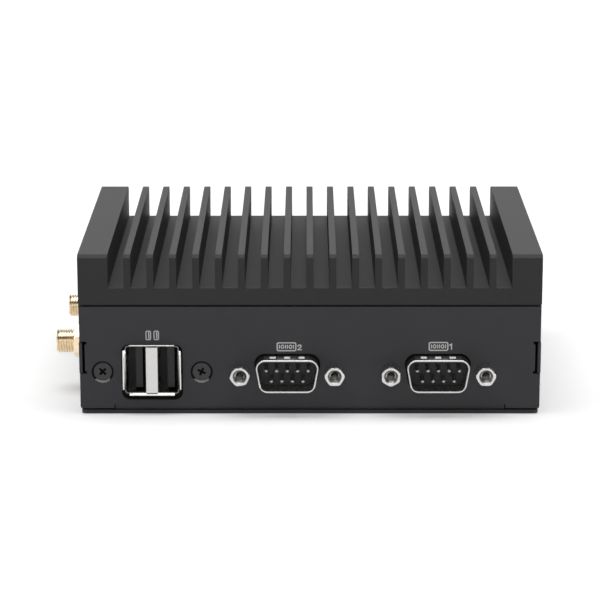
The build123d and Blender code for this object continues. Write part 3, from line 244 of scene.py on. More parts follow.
@cache
def grain_effect() -> bpy.types.NodeTree:
    """Makes the fine grain of blasting, powder coat or moulding.

    Returns:
        The node group, which gives a height and a mask that follows it.
    """
    coarser, fine_share = 3.7, 0.7
    effect = Effect(
        "Fine grain",
        {"Vector": ("Vector", (0.0, 0.0, 0.0)), "Size mm": ("Float", 0.2), "Contrast": ("Float", 1.0)},
        {"Height": "Float", "Mask": "Float"},
    )
    canvas, given = effect.canvas, effect.given
    fine = effect.noise(given["Vector"], given["Size mm"])
    coarse = effect.noise(given["Vector"], canvas.maths("MULTIPLY", given["Size mm"], coarser))
    fine = canvas.maths("MULTIPLY", fine, fine_share)
    height = canvas.maths("ADD", fine, canvas.maths("MULTIPLY", coarse, 1.0 - fine_share))
    contrast = canvas.maths("MULTIPLY", canvas.maths("SUBTRACT", height, 0.5), given["Contrast"])
    mask = canvas.add("ShaderNodeMath", operation="ADD", use_clamp=True)
    canvas.feed(mask.inputs[0], contrast)
    canvas.feed(mask.inputs[1], 0.5)
    canvas.feed(effect.result["Height"], height)
    canvas.feed(effect.result["Mask"], mask.outputs[0])
    return effect.tree


@cache
def tone_effect() -> bpy.types.NodeTree:
    """Makes the slow variation of a colour over a surface, and its lighter, rubbed edges.

    Returns:
        The node group, which gives the colour.
    """
    patch_size, patch_from, patch_to = 2.5, 0.42, 0.68
    effect = Effect(
        "Cloudy tone",
        {
            "Vector": ("Vector", (0.0, 0.0, 0.0)),
            "Colour": ("Color", (0.5, 0.5, 0.5, 1.0)),
            "Rubbed colour": ("Color", (0.5, 0.5, 0.5, 1.0)),
            "Cloud mm": ("Float", 14.0),
            "Cloud share": ("Float", 0.1),
            "Grain": ("Float", 0.5),
            "Grain share": ("Float", 0.1),
            "Edge": ("Float", 0.0),
        },
        {"Colour": "Color"},
    )
    canvas, given = effect.canvas, effect.given
    cloud = canvas.maths("SUBTRACT", effect.noise(given["Vector"], given["Cloud mm"]), 0.5)
    cloud = canvas.maths("MULTIPLY", cloud, given["Cloud share"])
    grain = canvas.maths("SUBTRACT", given["Grain"], 0.5)
    grain = canvas.maths("MULTIPLY", grain, given["Grain share"])
    value = canvas.maths("ADD", 1.0, canvas.maths("ADD", cloud, grain))
    toned = canvas.add("ShaderNodeVectorMath", operation="SCALE", Scale=value)
    canvas.feed(toned.inputs[0], given["Colour"])
    patches = canvas.add(
        "ShaderNodeMapRange", Value=effect.noise(given["Vector"], patch_size), From_Min=patch_from,
        From_Max=patch_to,
    ).outputs["Result"]
    rub = canvas.maths("MULTIPLY", given["Edge"], patches)
    canvas.feed(effect.result["Colour"], canvas.mixed(rub, toned.outputs[0], given["Rubbed colour"]))
    return effect.tree


@cache
def line_effect() -> bpy.types.NodeTree:
    """Makes the fine lines left by drawing, rolling or turning along one direction.

    Returns:
        The node group, which gives a height.
    """
    effect = Effect(
        "Drawn lines",
        {
            "Vector": ("Vector", (0.0, 0.0, 0.0)),
            "Squeeze": ("Vector", (1.0, 1.0, 1.0)),
            "Size mm": ("Float", 0.1),
        },
        {"Height": "Float"},
    )
    canvas, given = effect.canvas, effect.given
    squeezed = canvas.add("ShaderNodeVectorMath", operation="MULTIPLY")
    canvas.feed(squeezed.inputs[0], given["Vector"])
    canvas.feed(squeezed.inputs[1], given["Squeeze"])
    canvas.feed(effect.result["Height"], effect.noise(squeezed.outputs[0], given["Size mm"], detail=3.0))
    return effect.tree


@dataclass(frozen=True)
class Finish:
    """One finish of the computer, with the detail that varies over it.

    Attributes:
        slot: The record's material slot.
        colour: The base colour, linear.
        roughness: The lowest and highest roughness over the grain.
        metallic: 1 for bare or plated metal.
        specular: The strength of the reflection of a coat or plastic.
        grain: The grain's size in millimetres.
        depth: The grain's depth in millimetres, as bump.
        contrast: How sharply the grain's mask turns from dark to light.
        clouds: The share by which the colour varies slowly.
        speckle: The share by which the colour varies with the grain.
        rubbed: The colour where edges are rubbed, and none where they aren't.
        lines: The squeeze of drawn lines along x, y and z, and none where there are none.
        coat: The weight of a clear coat.
        coat_roughness: The roughness of that coat.
    """

    slot: str
    colour: Colour
    roughness: tuple[float, float]
    metallic: float = 0.0
    specular: float = 0.5
    grain: float = 0.2
    depth: float = 0.004
    contrast: float = 2.0
    clouds: float = 0.10
    speckle: float = 0.10
    rubbed: Colour | None = None
    lines: Point3 | None = None
    coat: float = 0.0
    coat_roughness: float = 0.08

    def material(self, name: str) -> bpy.types.Material:
        """Builds the finish as a material.

        Args:
            name: The material's name.

        Returns:
            The material, whose pattern reads Object coordinates.
        """
        material = bpy.data.materials.new(name)
        material.use_nodes = True
        canvas = NodeCanvas(material.node_tree)
        shader = material.node_tree.nodes["Principled BSDF"]
        place = canvas.add("ShaderNodeTexCoord").outputs["Object"]
        grain = canvas.add(
            "ShaderNodeGroup", node_tree=grain_effect(), Vector=place, Size_mm=self.grain,
            Contrast=self.contrast,
        )
        edge = canvas.add("ShaderNodeAttribute", attribute_name=Shape.EDGE).outputs["Fac"]
        tone = canvas.add(
            "ShaderNodeGroup", node_tree=tone_effect(), Vector=place, Colour=(*self.colour, 1.0),
            Rubbed_colour=(*(self.rubbed or self.colour), 1.0), Cloud_share=2 * self.clouds,
            Grain=grain.outputs["Mask"], Grain_share=2 * self.speckle, Edge=edge,
        )
        height = grain.outputs["Height"]
        if self.lines:
            lines = canvas.add(
                "ShaderNodeGroup", node_tree=line_effect(), Vector=place, Squeeze=self.lines,
                Size_mm=self.grain,
            )
            height = canvas.maths("ADD", height, lines.outputs["Height"])
        bump = canvas.add("ShaderNodeBump", Height=height, Strength=1.0, Distance=self.depth * MILLIMETRE)
        canvas.feed(shader.inputs["Base Color"], tone.outputs["Colour"])
        canvas.feed(shader.inputs["Roughness"], canvas.spread(grain.outputs["Mask"], *self.roughness))
        canvas.feed(shader.inputs["Normal"], bump.outputs["Normal"])
        shader.inputs["Metallic"].default_value = self.metallic
        shader.inputs["Specular IOR Level"].default_value = self.specular
        if self.coat:
            shader.inputs["Coat Weight"].default_value = self.coat
            shader.inputs["Coat Roughness"].default_value = self.coat_roughness
        return material


class Look(Enum):
    """Every finish of the computer."""

    ANODISED = Finish("anodised_cover", (0.063, 0.063, 0.066), (0.50, 0.58), specular=0.12, grain=0.14,
                      depth=0.0008, clouds=0.008, speckle=0.01, rubbed=(0.085, 0.085, 0.089))
    PAINT = Finish("panel_paint", (0.084, 0.083, 0.089), (0.52, 0.62), specular=0.12, grain=0.20, depth=0.001,
                   clouds=0.008, speckle=0.01, rubbed=(0.105, 0.104, 0.110))
    BLACK_SCREW = Finish("black_screw", (0.06, 0.06, 0.063), (0.34, 0.50), specular=0.4, grain=0.12,
                         rubbed=(0.14, 0.14, 0.14))
    STEEL = Finish("plain_steel", (0.55, 0.55, 0.56), (0.24, 0.40), metallic=1.0, grain=0.2, depth=0.003,
                   lines=(0.15, 1.0, 1.0))
    NICKEL = Finish("bright_nickel", (0.74, 0.73, 0.705), (0.14, 0.26), metallic=1.0, grain=0.15,
                    depth=0.0015, clouds=0.06, speckle=0.05, rubbed=(0.93, 0.92, 0.90),
                    lines=(1.0, 0.12, 1.0))
    GOLD = Finish("gold_plate", (0.92, 0.77, 0.54), (0.20, 0.32), metallic=1.0, grain=0.12, depth=0.0015,
                  clouds=0.08, speckle=0.06, rubbed=(0.95, 0.78, 0.52))
    BLACK_PLASTIC = Finish("black_plastic", (0.018, 0.018, 0.018), (0.38, 0.52), specular=0.4, grain=0.1,
                           depth=0.003, clouds=0.15, speckle=0.2)
    WHITE_PLASTIC = Finish("white_insulator", (0.80, 0.80, 0.78), (0.35, 0.5), grain=0.1, depth=0.002)
    BOARD = Finish("board_green", (0.01, 0.09, 0.035), (0.28, 0.40), grain=0.35, depth=0.004, clouds=0.25,
                   speckle=0.3, coat=0.2)
    CHIP = Finish("chip_black", (0.02, 0.02, 0.022), (0.42, 0.58), grain=0.08, depth=0.003, speckle=0.3)
    ALUMINIUM = Finish("plain_aluminium", (0.62, 0.62, 0.63), (0.26, 0.42), metallic=1.0, grain=0.12,
                       depth=0.004, lines=(1.0, 0.08, 1.0))
    PAD = Finish("pad_grey", (0.30, 0.31, 0.34), (0.72, 0.85), specular=0.3, grain=0.3, depth=0.02,
                 speckle=0.15)
    LEAD = Finish("lead_jacket", (0.015, 0.015, 0.015), (0.34, 0.44), grain=0.3, depth=0.004)
    CELL = Finish("cell_steel", (0.62, 0.62, 0.62), (0.16, 0.26), metallic=1.0, grain=0.1, depth=0.001,
                  lines=(0.1, 1.0, 1.0))
    LIGHT = Finish("clear_light", (0.75, 0.80, 0.78), (0.08, 0.16), grain=0.4, depth=0.002, clouds=0.04,
                   coat=0.6)
    # Painted shade: a near-black copy of the steel slot, for faces behind gaps, in recesses and in
    # countersinks that lie in shadow.
    DARK_STEEL = Finish("plain_steel", (0.010, 0.010, 0.010), (0.55, 0.70), specular=0.1, grain=0.2,
                        clouds=0.2)
    DULL_NICKEL = Finish("bright_nickel", (0.62, 0.615, 0.60), (0.20, 0.32), metallic=1.0, grain=0.1,
                         depth=0.001, rubbed=(0.75, 0.74, 0.72))
    # Painted shade: a dark copy of nickel, for shaded rim faces, corners and cut edges of the port shells.
    THREAD = Finish("bright_nickel", (0.15, 0.148, 0.142), (0.26, 0.40), metallic=1.0, grain=0.1, depth=0.001)
    # Painted shade: a dimmer copy of nickel, for tapped bores, inner rim faces and the pins inside the serial
    # shells.
    BORE = Finish("bright_nickel", (0.40, 0.395, 0.38), (0.22, 0.34), metallic=1.0, grain=0.1, depth=0.001)
    # Painted highlight: near white, for the faces of the serial shells' dimples that look up.
    SATIN = Finish("bright_nickel", (0.90, 0.90, 0.88), (0.30, 0.40), grain=0.1, depth=0.001, clouds=0.04)
    # Painted highlight: a lighter grey, for the faces of the port screws' countersinks that look up.
    BARE = Finish("plain_aluminium", (0.26, 0.26, 0.26), (0.34, 0.46), grain=0.1, depth=0.001, clouds=0.06)
    GREEN_LENS = Finish("clear_light", (0.06, 0.34, 0.09), (0.10, 0.18), grain=0.3, depth=0.002, coat=0.5)
    AMBER_LENS = Finish("clear_light", (0.72, 0.36, 0.04), (0.10, 0.18), grain=0.3, depth=0.002, coat=0.5)
    INK = Finish("panel_paint", (0.86, 0.86, 0.86), (0.50, 0.62), specular=0.2, grain=0.12, depth=0.002,
                 clouds=0.04, speckle=0.05)

    @property
    @cache
    def material(self) -> bpy.types.Material:
        """The finish's one material."""
        return self.value.material(self.name.lower())


# These nodes, seen through the front's gaps, take painted shade in black.
PAINTED_SHADE_NODES = ("data_port_bracket",)


def dress_frame() -> None:
    """Gives every CAD node its slot's first finish, and painted shade in black to the nodes seen behind the
    front's gaps.
    """
    looks = {}
    for look in Look:
        looks.setdefault(look.value.slot, look)
    for row in frame["record"]["subparts"]:
        look = Look.DARK_STEEL if row["node"] in PAINTED_SHADE_NODES else looks[row["material_slot"]]
        for slot in frame["nodes"][row["node"]].material_slots:
            slot.material = look.material
        log.info("%s: dressed in %s", row["node"], row["material_slot"])


# Shapes


Rim = list[bmesh.types.BMEdge]
Radius = float | Callable[[float], float]


def hexagon(flats: float, corner_limit: float = math.inf) -> Callable[[float], float]:
    """The radius of a hexagon at each angle, with a corner at angle 0.

    Args:
        flats: Its width across flats.
        corner_limit: The radius to which its corners are turned off.

    Returns:
        The radius as a function of the angle.
    """
    sixth = math.tau / 6
    return lambda angle: min(flats / 2 / math.cos(angle % sixth - sixth / 2), corner_limit)


def turned_corners(flats: float, corner: float, shares: Sequence[float],
                   slope: float = 0.58) -> list[tuple[Radius, float]]:
    """The rings of the cone that turns off a hexagon's corners at its end.

    Args:
        flats: The hexagon's width across flats.
        corner: The radius of its corners.
        shares: How far from the flats to the corners each ring lies, from 0 to 1.
        slope: How far along the axis the cone goes over its radius.

    Returns:
        Each ring's radius and height.
    """
    rises = [share * (corner - flats / 2) for share in shares]
    return [(hexagon(flats, flats / 2 + rise), rise * slope) for rise in rises]


class Shape:
    """A mesh in the making, in millimetres.

    Attributes:
        EDGE: The name of the layer that marks rounded edges.
        THREAD_PROFILE: The corners in one pitch of a thread, as shares of it and whether on the crest.
    """

    EDGE = "rubbed_edge"
    THREAD_PROFILE = ((0.0, False), (0.18, False), (0.44, True), (0.74, True))

    def __init__(self) -> None:
        """Starts with nothing."""
        self.mesh = bmesh.new()
        self.edge_layer = self.mesh.verts.layers.float.new(self.EDGE)

    @classmethod
    def of_node(cls, node: str) -> "Shape":
        """Copies a CAD node, joins its loose triangles and clears the lines over its flat faces.

        Args:
            node: The node's name.

        Returns:
            The copy.
        """
        shape = cls()
        mesh = shape.mesh
        mesh.from_mesh(frame["nodes"][node].data)
        bmesh.ops.scale(mesh, vec=Vector((1, 1, 1)) / MILLIMETRE, verts=mesh.verts)
        bmesh.ops.remove_doubles(mesh, verts=mesh.verts, dist=CAD_WELD)
        bmesh.ops.dissolve_limit(
            mesh, angle_limit=FLAT_BELOW, use_dissolve_boundaries=False, verts=mesh.verts, edges=mesh.edges
        )
        return shape

    def box(self, low: Point3, high: Point3) -> None:
        """Adds a block.

        Args:
            low: Its corner with the lowest x, y and z.
            high: The corner across.
        """
        low_corner, high_corner = Vector(low), Vector(high)
        size = Matrix.Diagonal((*(high_corner - low_corner), 1.0))
        matrix = Matrix.Translation((low_corner + high_corner) / 2) @ size
        bmesh.ops.create_cube(self.mesh, size=1.0, matrix=matrix)

    def prism(self, outline: Sequence[Point2], start: float, end: float) -> None:
        """Adds a flat outline in x and z, drawn out along y.

        Args:
            outline: The outline's corners, in order.
            start: The first end's y.
            end: The other end's y.
        """
        face = self.mesh.faces.new([self.mesh.verts.new((x, start, z)) for x, z in outline])
        self.thicken([face], end - start)

    def thicken(self, faces: list[bmesh.types.BMFace], distance: float) -> None:
        """Draws flat faces out along y and keeps them as the first end.

        Args:
            faces: The faces.
            distance: How far they are drawn.
        """
        drawn = bmesh.ops.extrude_face_region(self.mesh, geom=faces, use_keep_orig=True)
        moved = [item for item in drawn["geom"] if isinstance(item, bmesh.types.BMVert)]
        bmesh.ops.translate(self.mesh, verts=moved, vec=(0.0, distance, 0.0))

    def turned(self, profile: Sequence[Point2], steps: int = ROUND_STEPS, sweep: float = math.tau) -> None:
        """Adds a part turned about the z axis.

        Args:
            profile: Its radius and height at each corner. A ring's last corner repeats the first.
            steps: The number of flats round it.
            sweep: How far round it goes.
        """
        corners = [self.mesh.verts.new((radius, 0.0, height)) for radius, height in profile]
        edges = [self.mesh.edges.new(pair) for pair in zip(corners, corners[1:])]
        bmesh.ops.spin(
            self.mesh, geom=corners + edges, cent=(0, 0, 0), axis=(0, 0, 1), angle=sweep, steps=steps,
            use_merge=sweep == math.tau, use_duplicate=False,
        )
        bmesh.ops.remove_doubles(self.mesh, verts=self.mesh.verts, dist=WELD)

    def thread(self, length: float, pitch: float, crest: float, root: float,
               lead_in: Callable[[float, float], float]) -> tuple[Rim, Rim]:
        """Adds a right-hand thread about the z axis, from height 0 on.

        Args:
            length: Its length.
            pitch: Its pitch.
            crest: The radius of its crests; inside a bore they are the larger ones.
            root: The radius of its roots.
            lead_in: The radius that a point keeps, from its radius and height.

        Returns:
            Its open rims at height 0 and at its end.
        """
        corners = []
        for turn in range(-1, math.ceil(length / pitch) + 1):
            for share, on_crest in self.THREAD_PROFILE:
                radius = crest if on_crest else root
                corners.append(self.mesh.verts.new((radius, 0.0, (turn + share) * pitch)))
        edges = [self.mesh.edges.new(pair) for pair in zip(corners, corners[1:])]
        bmesh.ops.spin(
            self.mesh, geom=corners + edges, cent=(0, 0, 0), axis=(0, 0, 1), angle=math.tau,
            steps=ROUND_STEPS, dvec=(0, 0, pitch / ROUND_STEPS), use_merge=False, use_duplicate=False,
        )
        bmesh.ops.remove_doubles(self.mesh, verts=self.mesh.verts, dist=10 * WELD)
        rims = []
        for height, cleared in ((0.0, {"clear_inner": True}), (length, {"clear_outer": True})):
            everything = [*self.mesh.verts, *self.mesh.edges, *self.mesh.faces]
            bmesh.ops.bisect_plane(
                self.mesh, geom=everything, dist=1e-5, plane_co=(0, 0, height), plane_no=(0, 0, 1), **cleared
            )
        for vertex in self.mesh.verts:
            radius = vertex.co.xy.length
            vertex.co.xy *= lead_in(radius, vertex.co.z) / radius
        for height in (0.0, length):
            rims.append([
                edge for edge in self.mesh.edges
                if edge.is_boundary and all(abs(vertex.co.z - height) < WELD for vertex in edge.verts)
            ])
        return rims[0], rims[1]

    def rim(self, radius: float, height: float, steps: int = ROUND_STEPS) -> Rim:
        """Adds an open circle about the z axis.

        Args:
            radius: Its radius.
            height: Its height.
            steps: The number of its edges.

        Returns:
            Its edges.
        """
        place = Matrix.Translation((0, 0, height))
        circle = bmesh.ops.create_circle(
            self.mesh, cap_ends=False, radius=radius, segments=steps, matrix=place
        )
        return list({edge for vertex in circle["verts"] for edge in vertex.link_edges})

    def carry_on(self, rim: Rim, profile: Sequence[tuple[Radius, float]]) -> Rim:
        """Draws an open rim on, ring by ring.

        Args:
            rim: The rim's edges.
            profile: The radius and height of each next ring. Radius 0 closes it.

        Returns:
            The last ring's edges.
        """
        for radius, height in profile:
            drawn = bmesh.ops.extrude_edge_only(self.mesh, edges=rim)["geom"]
            for vertex in (item for item in drawn if isinstance(item, bmesh.types.BMVert)):
                angle = math.atan2(vertex.co.y, vertex.co.x)
                reach = radius(angle) if callable(radius) else radius
                vertex.co = (reach * math.cos(angle), reach * math.sin(angle), height)
            rim = [
                item for item in drawn if isinstance(item, bmesh.types.BMEdge)
                and all(abs(vertex.co.z - height) < 1e-6 for vertex in item.verts) and item.is_boundary
            ]
        if profile[-1][0] == 0:
            bmesh.ops.remove_doubles(self.mesh, verts=self.mesh.verts, dist=WELD)
        return rim

    def break_edges(self, width: float, segments: int = 2,
                    where: Callable[[bmesh.types.BMEdge], bool] | None = None,
                    longer_than: float = 0.0, sharper_than: float = 40.0) -> None:
        """Rounds the sharp edges and marks them for the rub of handling.

        Args:
            width: The rounding's width.
            segments: Its number of steps.
            where: Keeps an edge sharp where it answers False.
            longer_than: Shorter edges stay sharp.
            sharper_than: Edges with a smaller angle, in degrees, stay as they are.
        """
        limit = math.radians(sharper_than)
        chosen = [
            edge for edge in self.mesh.edges
            if edge.is_manifold and edge.calc_face_angle() > limit and edge.calc_length() > longer_than
            and (where is None or where(edge))
        ]
        rounded = bmesh.ops.bevel(
            self.mesh, geom=chosen, offset=width, offset_type="OFFSET", segments=segments, profile=0.5,
            affect="EDGES", clamp_overlap=True, material=-1,
        )
        roundings = set(rounded["faces"])
        for vertex in rounded["verts"]:
            if roundings.issuperset(vertex.link_faces):
                vertex[self.edge_layer] = 1.0

    def paint(self, index: int, where: Callable[[bmesh.types.BMFace, Vector], bool]) -> None:
        """Gives faces another of the piece's finishes.

        Args:
            index: The finish's place in the piece's list, from 1 on.
            where: Answers True for these faces, from the face and its middle.
        """
        self.mesh.normal_update()
        for face in self.mesh.faces:
            if where(face, face.calc_center_median()):
                face.material_index = index

    def stamp(self, part: "Shape", places: Iterable[Matrix]) -> None:
        """Adds copies of a part, and uses the part up.

        Args:
            part: The part.
            places: The place of each copy.
        """
        data = bpy.data.meshes.new("stamp")
        part.mesh.to_mesh(data)
        part.mesh.free()
        for place in places:
            data.transform(place)
            self.mesh.from_mesh(data)
            data.transform(place.inverted())
        bpy.data.meshes.remove(data)

    def piece(self, name: str, look: Look, body: Body = Body.CASE, replaces: Sequence[str] = (),
              recalculate: bool = True, more: Sequence[Look] = (), flatten: bool = True) -> bpy.types.Object:
        """Turns the mesh into an object in metres that rides on a body.

        Args:
            name: The piece's name.
            look: Its finish.
            body: The CAD body that it rides on.
            replaces: The CAD nodes that it stands for.
            recalculate: Whether its faces are first turned outwards.
            more: The finishes of painted faces.
            flatten: Whether its flat faces shade flat up to their rounded edges.

        Returns:
            The object, with its place in its mesh.
        """
        if recalculate:
            bmesh.ops.recalc_face_normals(self.mesh, faces=self.mesh.faces)
        for face in self.mesh.faces:
            face.smooth = True
        for edge in self.mesh.edges:
            edge.smooth = not edge.is_manifold or edge.calc_face_angle() < SMOOTH_BELOW
        bmesh.ops.scale(self.mesh, vec=Vector((1, 1, 1)) * MILLIMETRE, verts=self.mesh.verts)
        data = bpy.data.meshes.new(name)
        self.mesh.to_mesh(data)
        self.mesh.free()
        for finish in (look, *more):
            data.materials.append(finish.material)
        piece = bpy.data.objects.new(name, data)
        bpy.context.scene.collection.objects.link(piece)
        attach(piece, body.value)
        if flatten:
            flattened = piece.modifiers.new("weighted normals", "WEIGHTED_NORMAL")
            flattened.keep_sharp = True
            flattened.weight = 100
        if replaces:
            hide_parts(*replaces)
        log.info("%s: %d faces, %s", name, len(data.polygons), look.name.lower())
        return piece


# The case

AXIS_Z = 11.6
PANEL_SHEET = 1.2
PANEL_FACE = Wall.FRONT.value[1]
SERIAL_CENTRES = (-6.0, 33.8)
PORT_CENTRE = (-41.75, 12.42)
PORT_SCREWS = (PORT_CENTRE[0] - 13.1, PORT_CENTRE[0] + 13.1)
PORT_SCREW_TURNS = (45.0, 25.0)
PORT_SCREW_DEPTH = 0.35
POST_SCREWS = (54.2, 32.5)
FLANGE_SCREWS = (25.0, 39.1)


@dataclass
class FinnedCover:
    """The extruded and milled cover."""

    edge_break: float = 0.10
    longer_than: float = 1.0

    def build(self) -> None:
        """Breaks the cover's long edges."""
        shape = Shape.of_node("heatsink_cover")
        shape.break_edges(self.edge_break, longer_than=self.longer_than)
        shape.piece("finned_cover", Look.ANODISED, replaces=["heatsink_cover"], recalculate=False)


@dataclass
class SheetCase:
    """The folded panels, the side walls and the bottom plate, cut from sheet.

    Attributes:
        edge_break: The width to which burrs are broken.
        longer_than: Shorter edges stay sharp.
        sink_radius: How far a countersink reaches from a port screw's axis, at most.
        sink_skin: How far behind the panel's face a countersink's faces begin.
        sink_slant: The size of a normal's y from which a face counts as flat on the panel.
        sink_lit: The height of a normal above which a countersink's face takes a painted highlight; under it,
            painted shade.
        sheets: The CAD nodes cut from sheet.
    """

    edge_break: float = 0.07
    longer_than: float = 0.7
    sink_radius: float = 3.0
    sink_skin: float = 0.05
    sink_slant: float = 0.95
    sink_lit: float = 0.52
    sheets: tuple[str, ...] = (
        "front_panel", "rear_panel", "left_side_wall", "right_side_wall", "bottom_plate"
    )

    def build(self) -> None:
        """Breaks the burrs of every sheet's longer edges, and paints shade and a highlight into the port
        screws' countersinks.
        """
        for node in self.sheets:
            shape = Shape.of_node(node)
            shape.break_edges(self.edge_break, longer_than=self.longer_than)
            # Painted light in the countersinks: shade on faces that look down or sideways, a highlight on
            # those that look up.
            shape.paint(1, lambda face, middle: self.in_sink(face, middle) and not self.is_lit(face))
            shape.paint(2, lambda face, middle: self.in_sink(face, middle) and self.is_lit(face))
            shape.piece(f"{node}_sheet", Look.PAINT, replaces=[node], recalculate=False,
                        more=[Look.DARK_STEEL, Look.BARE])

    def is_lit(self, face: bmesh.types.BMFace) -> bool:
        """Whether a countersink's face looks far enough up to take the painted highlight."""
        return face.normal.z > self.sink_lit

    def in_sink(self, face: bmesh.types.BMFace, middle: Vector) -> bool:
        """Whether a face belongs to the countersink of a port screw.

        Args:
            face: The face.
            middle: Its middle.

        Returns:
            True for a slanting face in the front panel's sheet, near a port screw's axis.
        """
        if not PANEL_FACE + self.sink_skin < middle.y < PANEL_FACE + PANEL_SHEET:
            return False
        reach = min(math.hypot(middle.x - x, middle.z - AXIS_Z) for x in PORT_SCREWS)
        return reach < self.sink_radius and abs(face.normal.y) < self.sink_slant


@dataclass
class CrossScrews:
    """Countersunk screws of one size with a tapered cross recess."""

    name: str
    node: str
    places: Sequence[Matrix]
    head_radius: float = 2.5
    head_height: float = 1.0
    shank_radius: float = 1.5
    length: float = 12.0
    arm: float = 1.15
    arm_width: float = 0.62
    recess_depth: float = 0.75
    recess_taper: float = 0.55
    edge: float = 0.08

    def build(self) -> None:
        """Makes one screw, head at height 0 and shank upwards, and stamps it at every place."""
        screw = Shape()
        outer = screw.rim(self.head_radius - self.edge, 0.0)
        self.cut_recess(screw, outer)
        neck = max(self.head_radius - self.head_height, self.shank_radius)
        screw.carry_on(outer, [
            (self.head_radius, self.edge), (neck, self.head_height),
            (self.shank_radius, self.head_height), (self.shank_radius, self.length), (0.0, self.length),
        ])
        screws = Shape()
        screws.stamp(screw, self.places)
        screws.piece(self.name, Look.BLACK_SCREW, replaces=[self.node], more=[Look.DARK_STEEL])

    def cut_recess(self, screw: Shape, outer: Rim) -> None:
        """Draws the head's face with its cross recess, which takes painted shade.

        Args:
            screw: The screw's shape.
            outer: The rim of the head's face.
        """
        mesh = screw.mesh
        arm, half = self.arm, self.arm_width / 2
        quarter = [(arm, -half), (arm, half), (half, half)]
        turns = [Matrix.Rotation(turn * math.tau / 4, 2) for turn in range(4)]
        spots = [turn @ Vector(point) for turn in turns for point in quarter]
        corners = [mesh.verts.new((*spot, 0.0)) for spot in spots]
        cross = [mesh.edges.new(pair) for pair in zip(corners, corners[1:] + corners[:1])]
        bmesh.ops.bridge_loops(mesh, edges=outer + cross)
        sunk = bmesh.ops.extrude_edge_only(mesh, edges=cross)["geom"]
        floor = [item for item in sunk if isinstance(item, bmesh.types.BMVert)]
        bmesh.ops.scale(mesh, verts=floor, vec=(self.recess_taper, self.recess_taper, 1.0))
        bmesh.ops.translate(mesh, verts=floor, vec=(0.0, 0.0, self.recess_depth))
        loop = [
            item for item in sunk if isinstance(item, bmesh.types.BMEdge) and item.is_boundary
            and all(vertex in floor for vertex in item.verts)
        ]
        bmesh.ops.contextual_create(mesh, geom=loop)
        # Painted shade: the cross recess takes the near-black finish.
        screw.paint(1, lambda face, middle: WELD < middle.z <= self.recess_depth)


def four_places(x: float, y: float) -> list[Matrix]:
    """The four places at these distances from the bottom plate's middle lines."""
    return [Matrix.Translation((side * x, end * y, 0.0)) for side in (-1, 1) for end in (-1, 1)]


# The front


@dataclass
class JackScrews:
    """The hexagonal jack screws beside the serial ports, with their tapped bores."""

    spacing: float = 24.99
    turns: tuple[float, ...] = (-9.0, 0.0, 30.0, 0.0)
    flats: float = 4.8
    corner_limit: float = 2.61
    turned_shares: tuple[float, ...] = (0.12, 0.35, 0.6, 0.8, 1.0)
    face_edge: Point2 = (0.12, 0.012)
    length: float = 5.0
    bore: float = 1.42
    bore_crest: float = 1.12
    bore_depth: float = 4.6
    drill: float = 1.0
    drill_depth: float = 8.5
    drill_point: float = 0.6
    pitch: float = 0.635
    mouth: float = 1.85
    mouth_slope: float = 0.8
    mouth_edge: float = 0.03
    stud: float = 1.25
    stud_length: float = 6.0

    def build(self) -> None:
        """Makes one screw, tip at height 0, and stamps it at every jack's place."""
        jack = Shape()
        mouth, floor = jack.thread(
            self.bore_depth, self.pitch, self.bore, self.bore_crest,
            lambda radius, height: max(radius, self.mouth - self.mouth_slope * height),
        )
        jack.carry_on(floor, [
            (self.drill, self.bore_depth), (self.drill, self.drill_depth),
            (0.0, self.drill_depth + self.drill_point),
        ])
        inscribed, end = self.flats / 2, self.length + self.stud_length
        jack.carry_on(mouth, [
            (self.mouth + self.mouth_edge, 0.0), (inscribed - self.face_edge[0], 0.0),
            (inscribed, self.face_edge[1]),
            *turned_corners(self.flats, self.corner_limit, self.turned_shares),
            (hexagon(self.flats, self.corner_limit), self.length), (self.stud, self.length),
            (self.stud, end), (0.0, end),
        ])
        # Painted shade: the bore, its mouth and the drilled end take a dimmer nickel.
        jack.paint(1, self.in_bore)
        centres = [centre + side * self.spacing / 2 for centre in SERIAL_CENTRES for side in (-1, 1)]
        jacks = Shape()
        jacks.stamp(jack, [
            Wall.FRONT.axis(x, AXIS_Z, -self.length, turn) for x, turn in zip(centres, self.turns)
        ])
        jacks.piece("tapped_jack_screws", Look.DULL_NICKEL, replaces=["jack_screws"], more=[Look.BORE])

    def in_bore(self, _face: bmesh.types.BMFace, middle: Vector) -> bool:
        """Whether a face belongs to the tapped bore, its mouth or the drilled end, which take painted shade.
        """
        across = middle.xy.length
        return across < self.mouth and (middle.z < self.length - CLEAR or across <= self.drill)


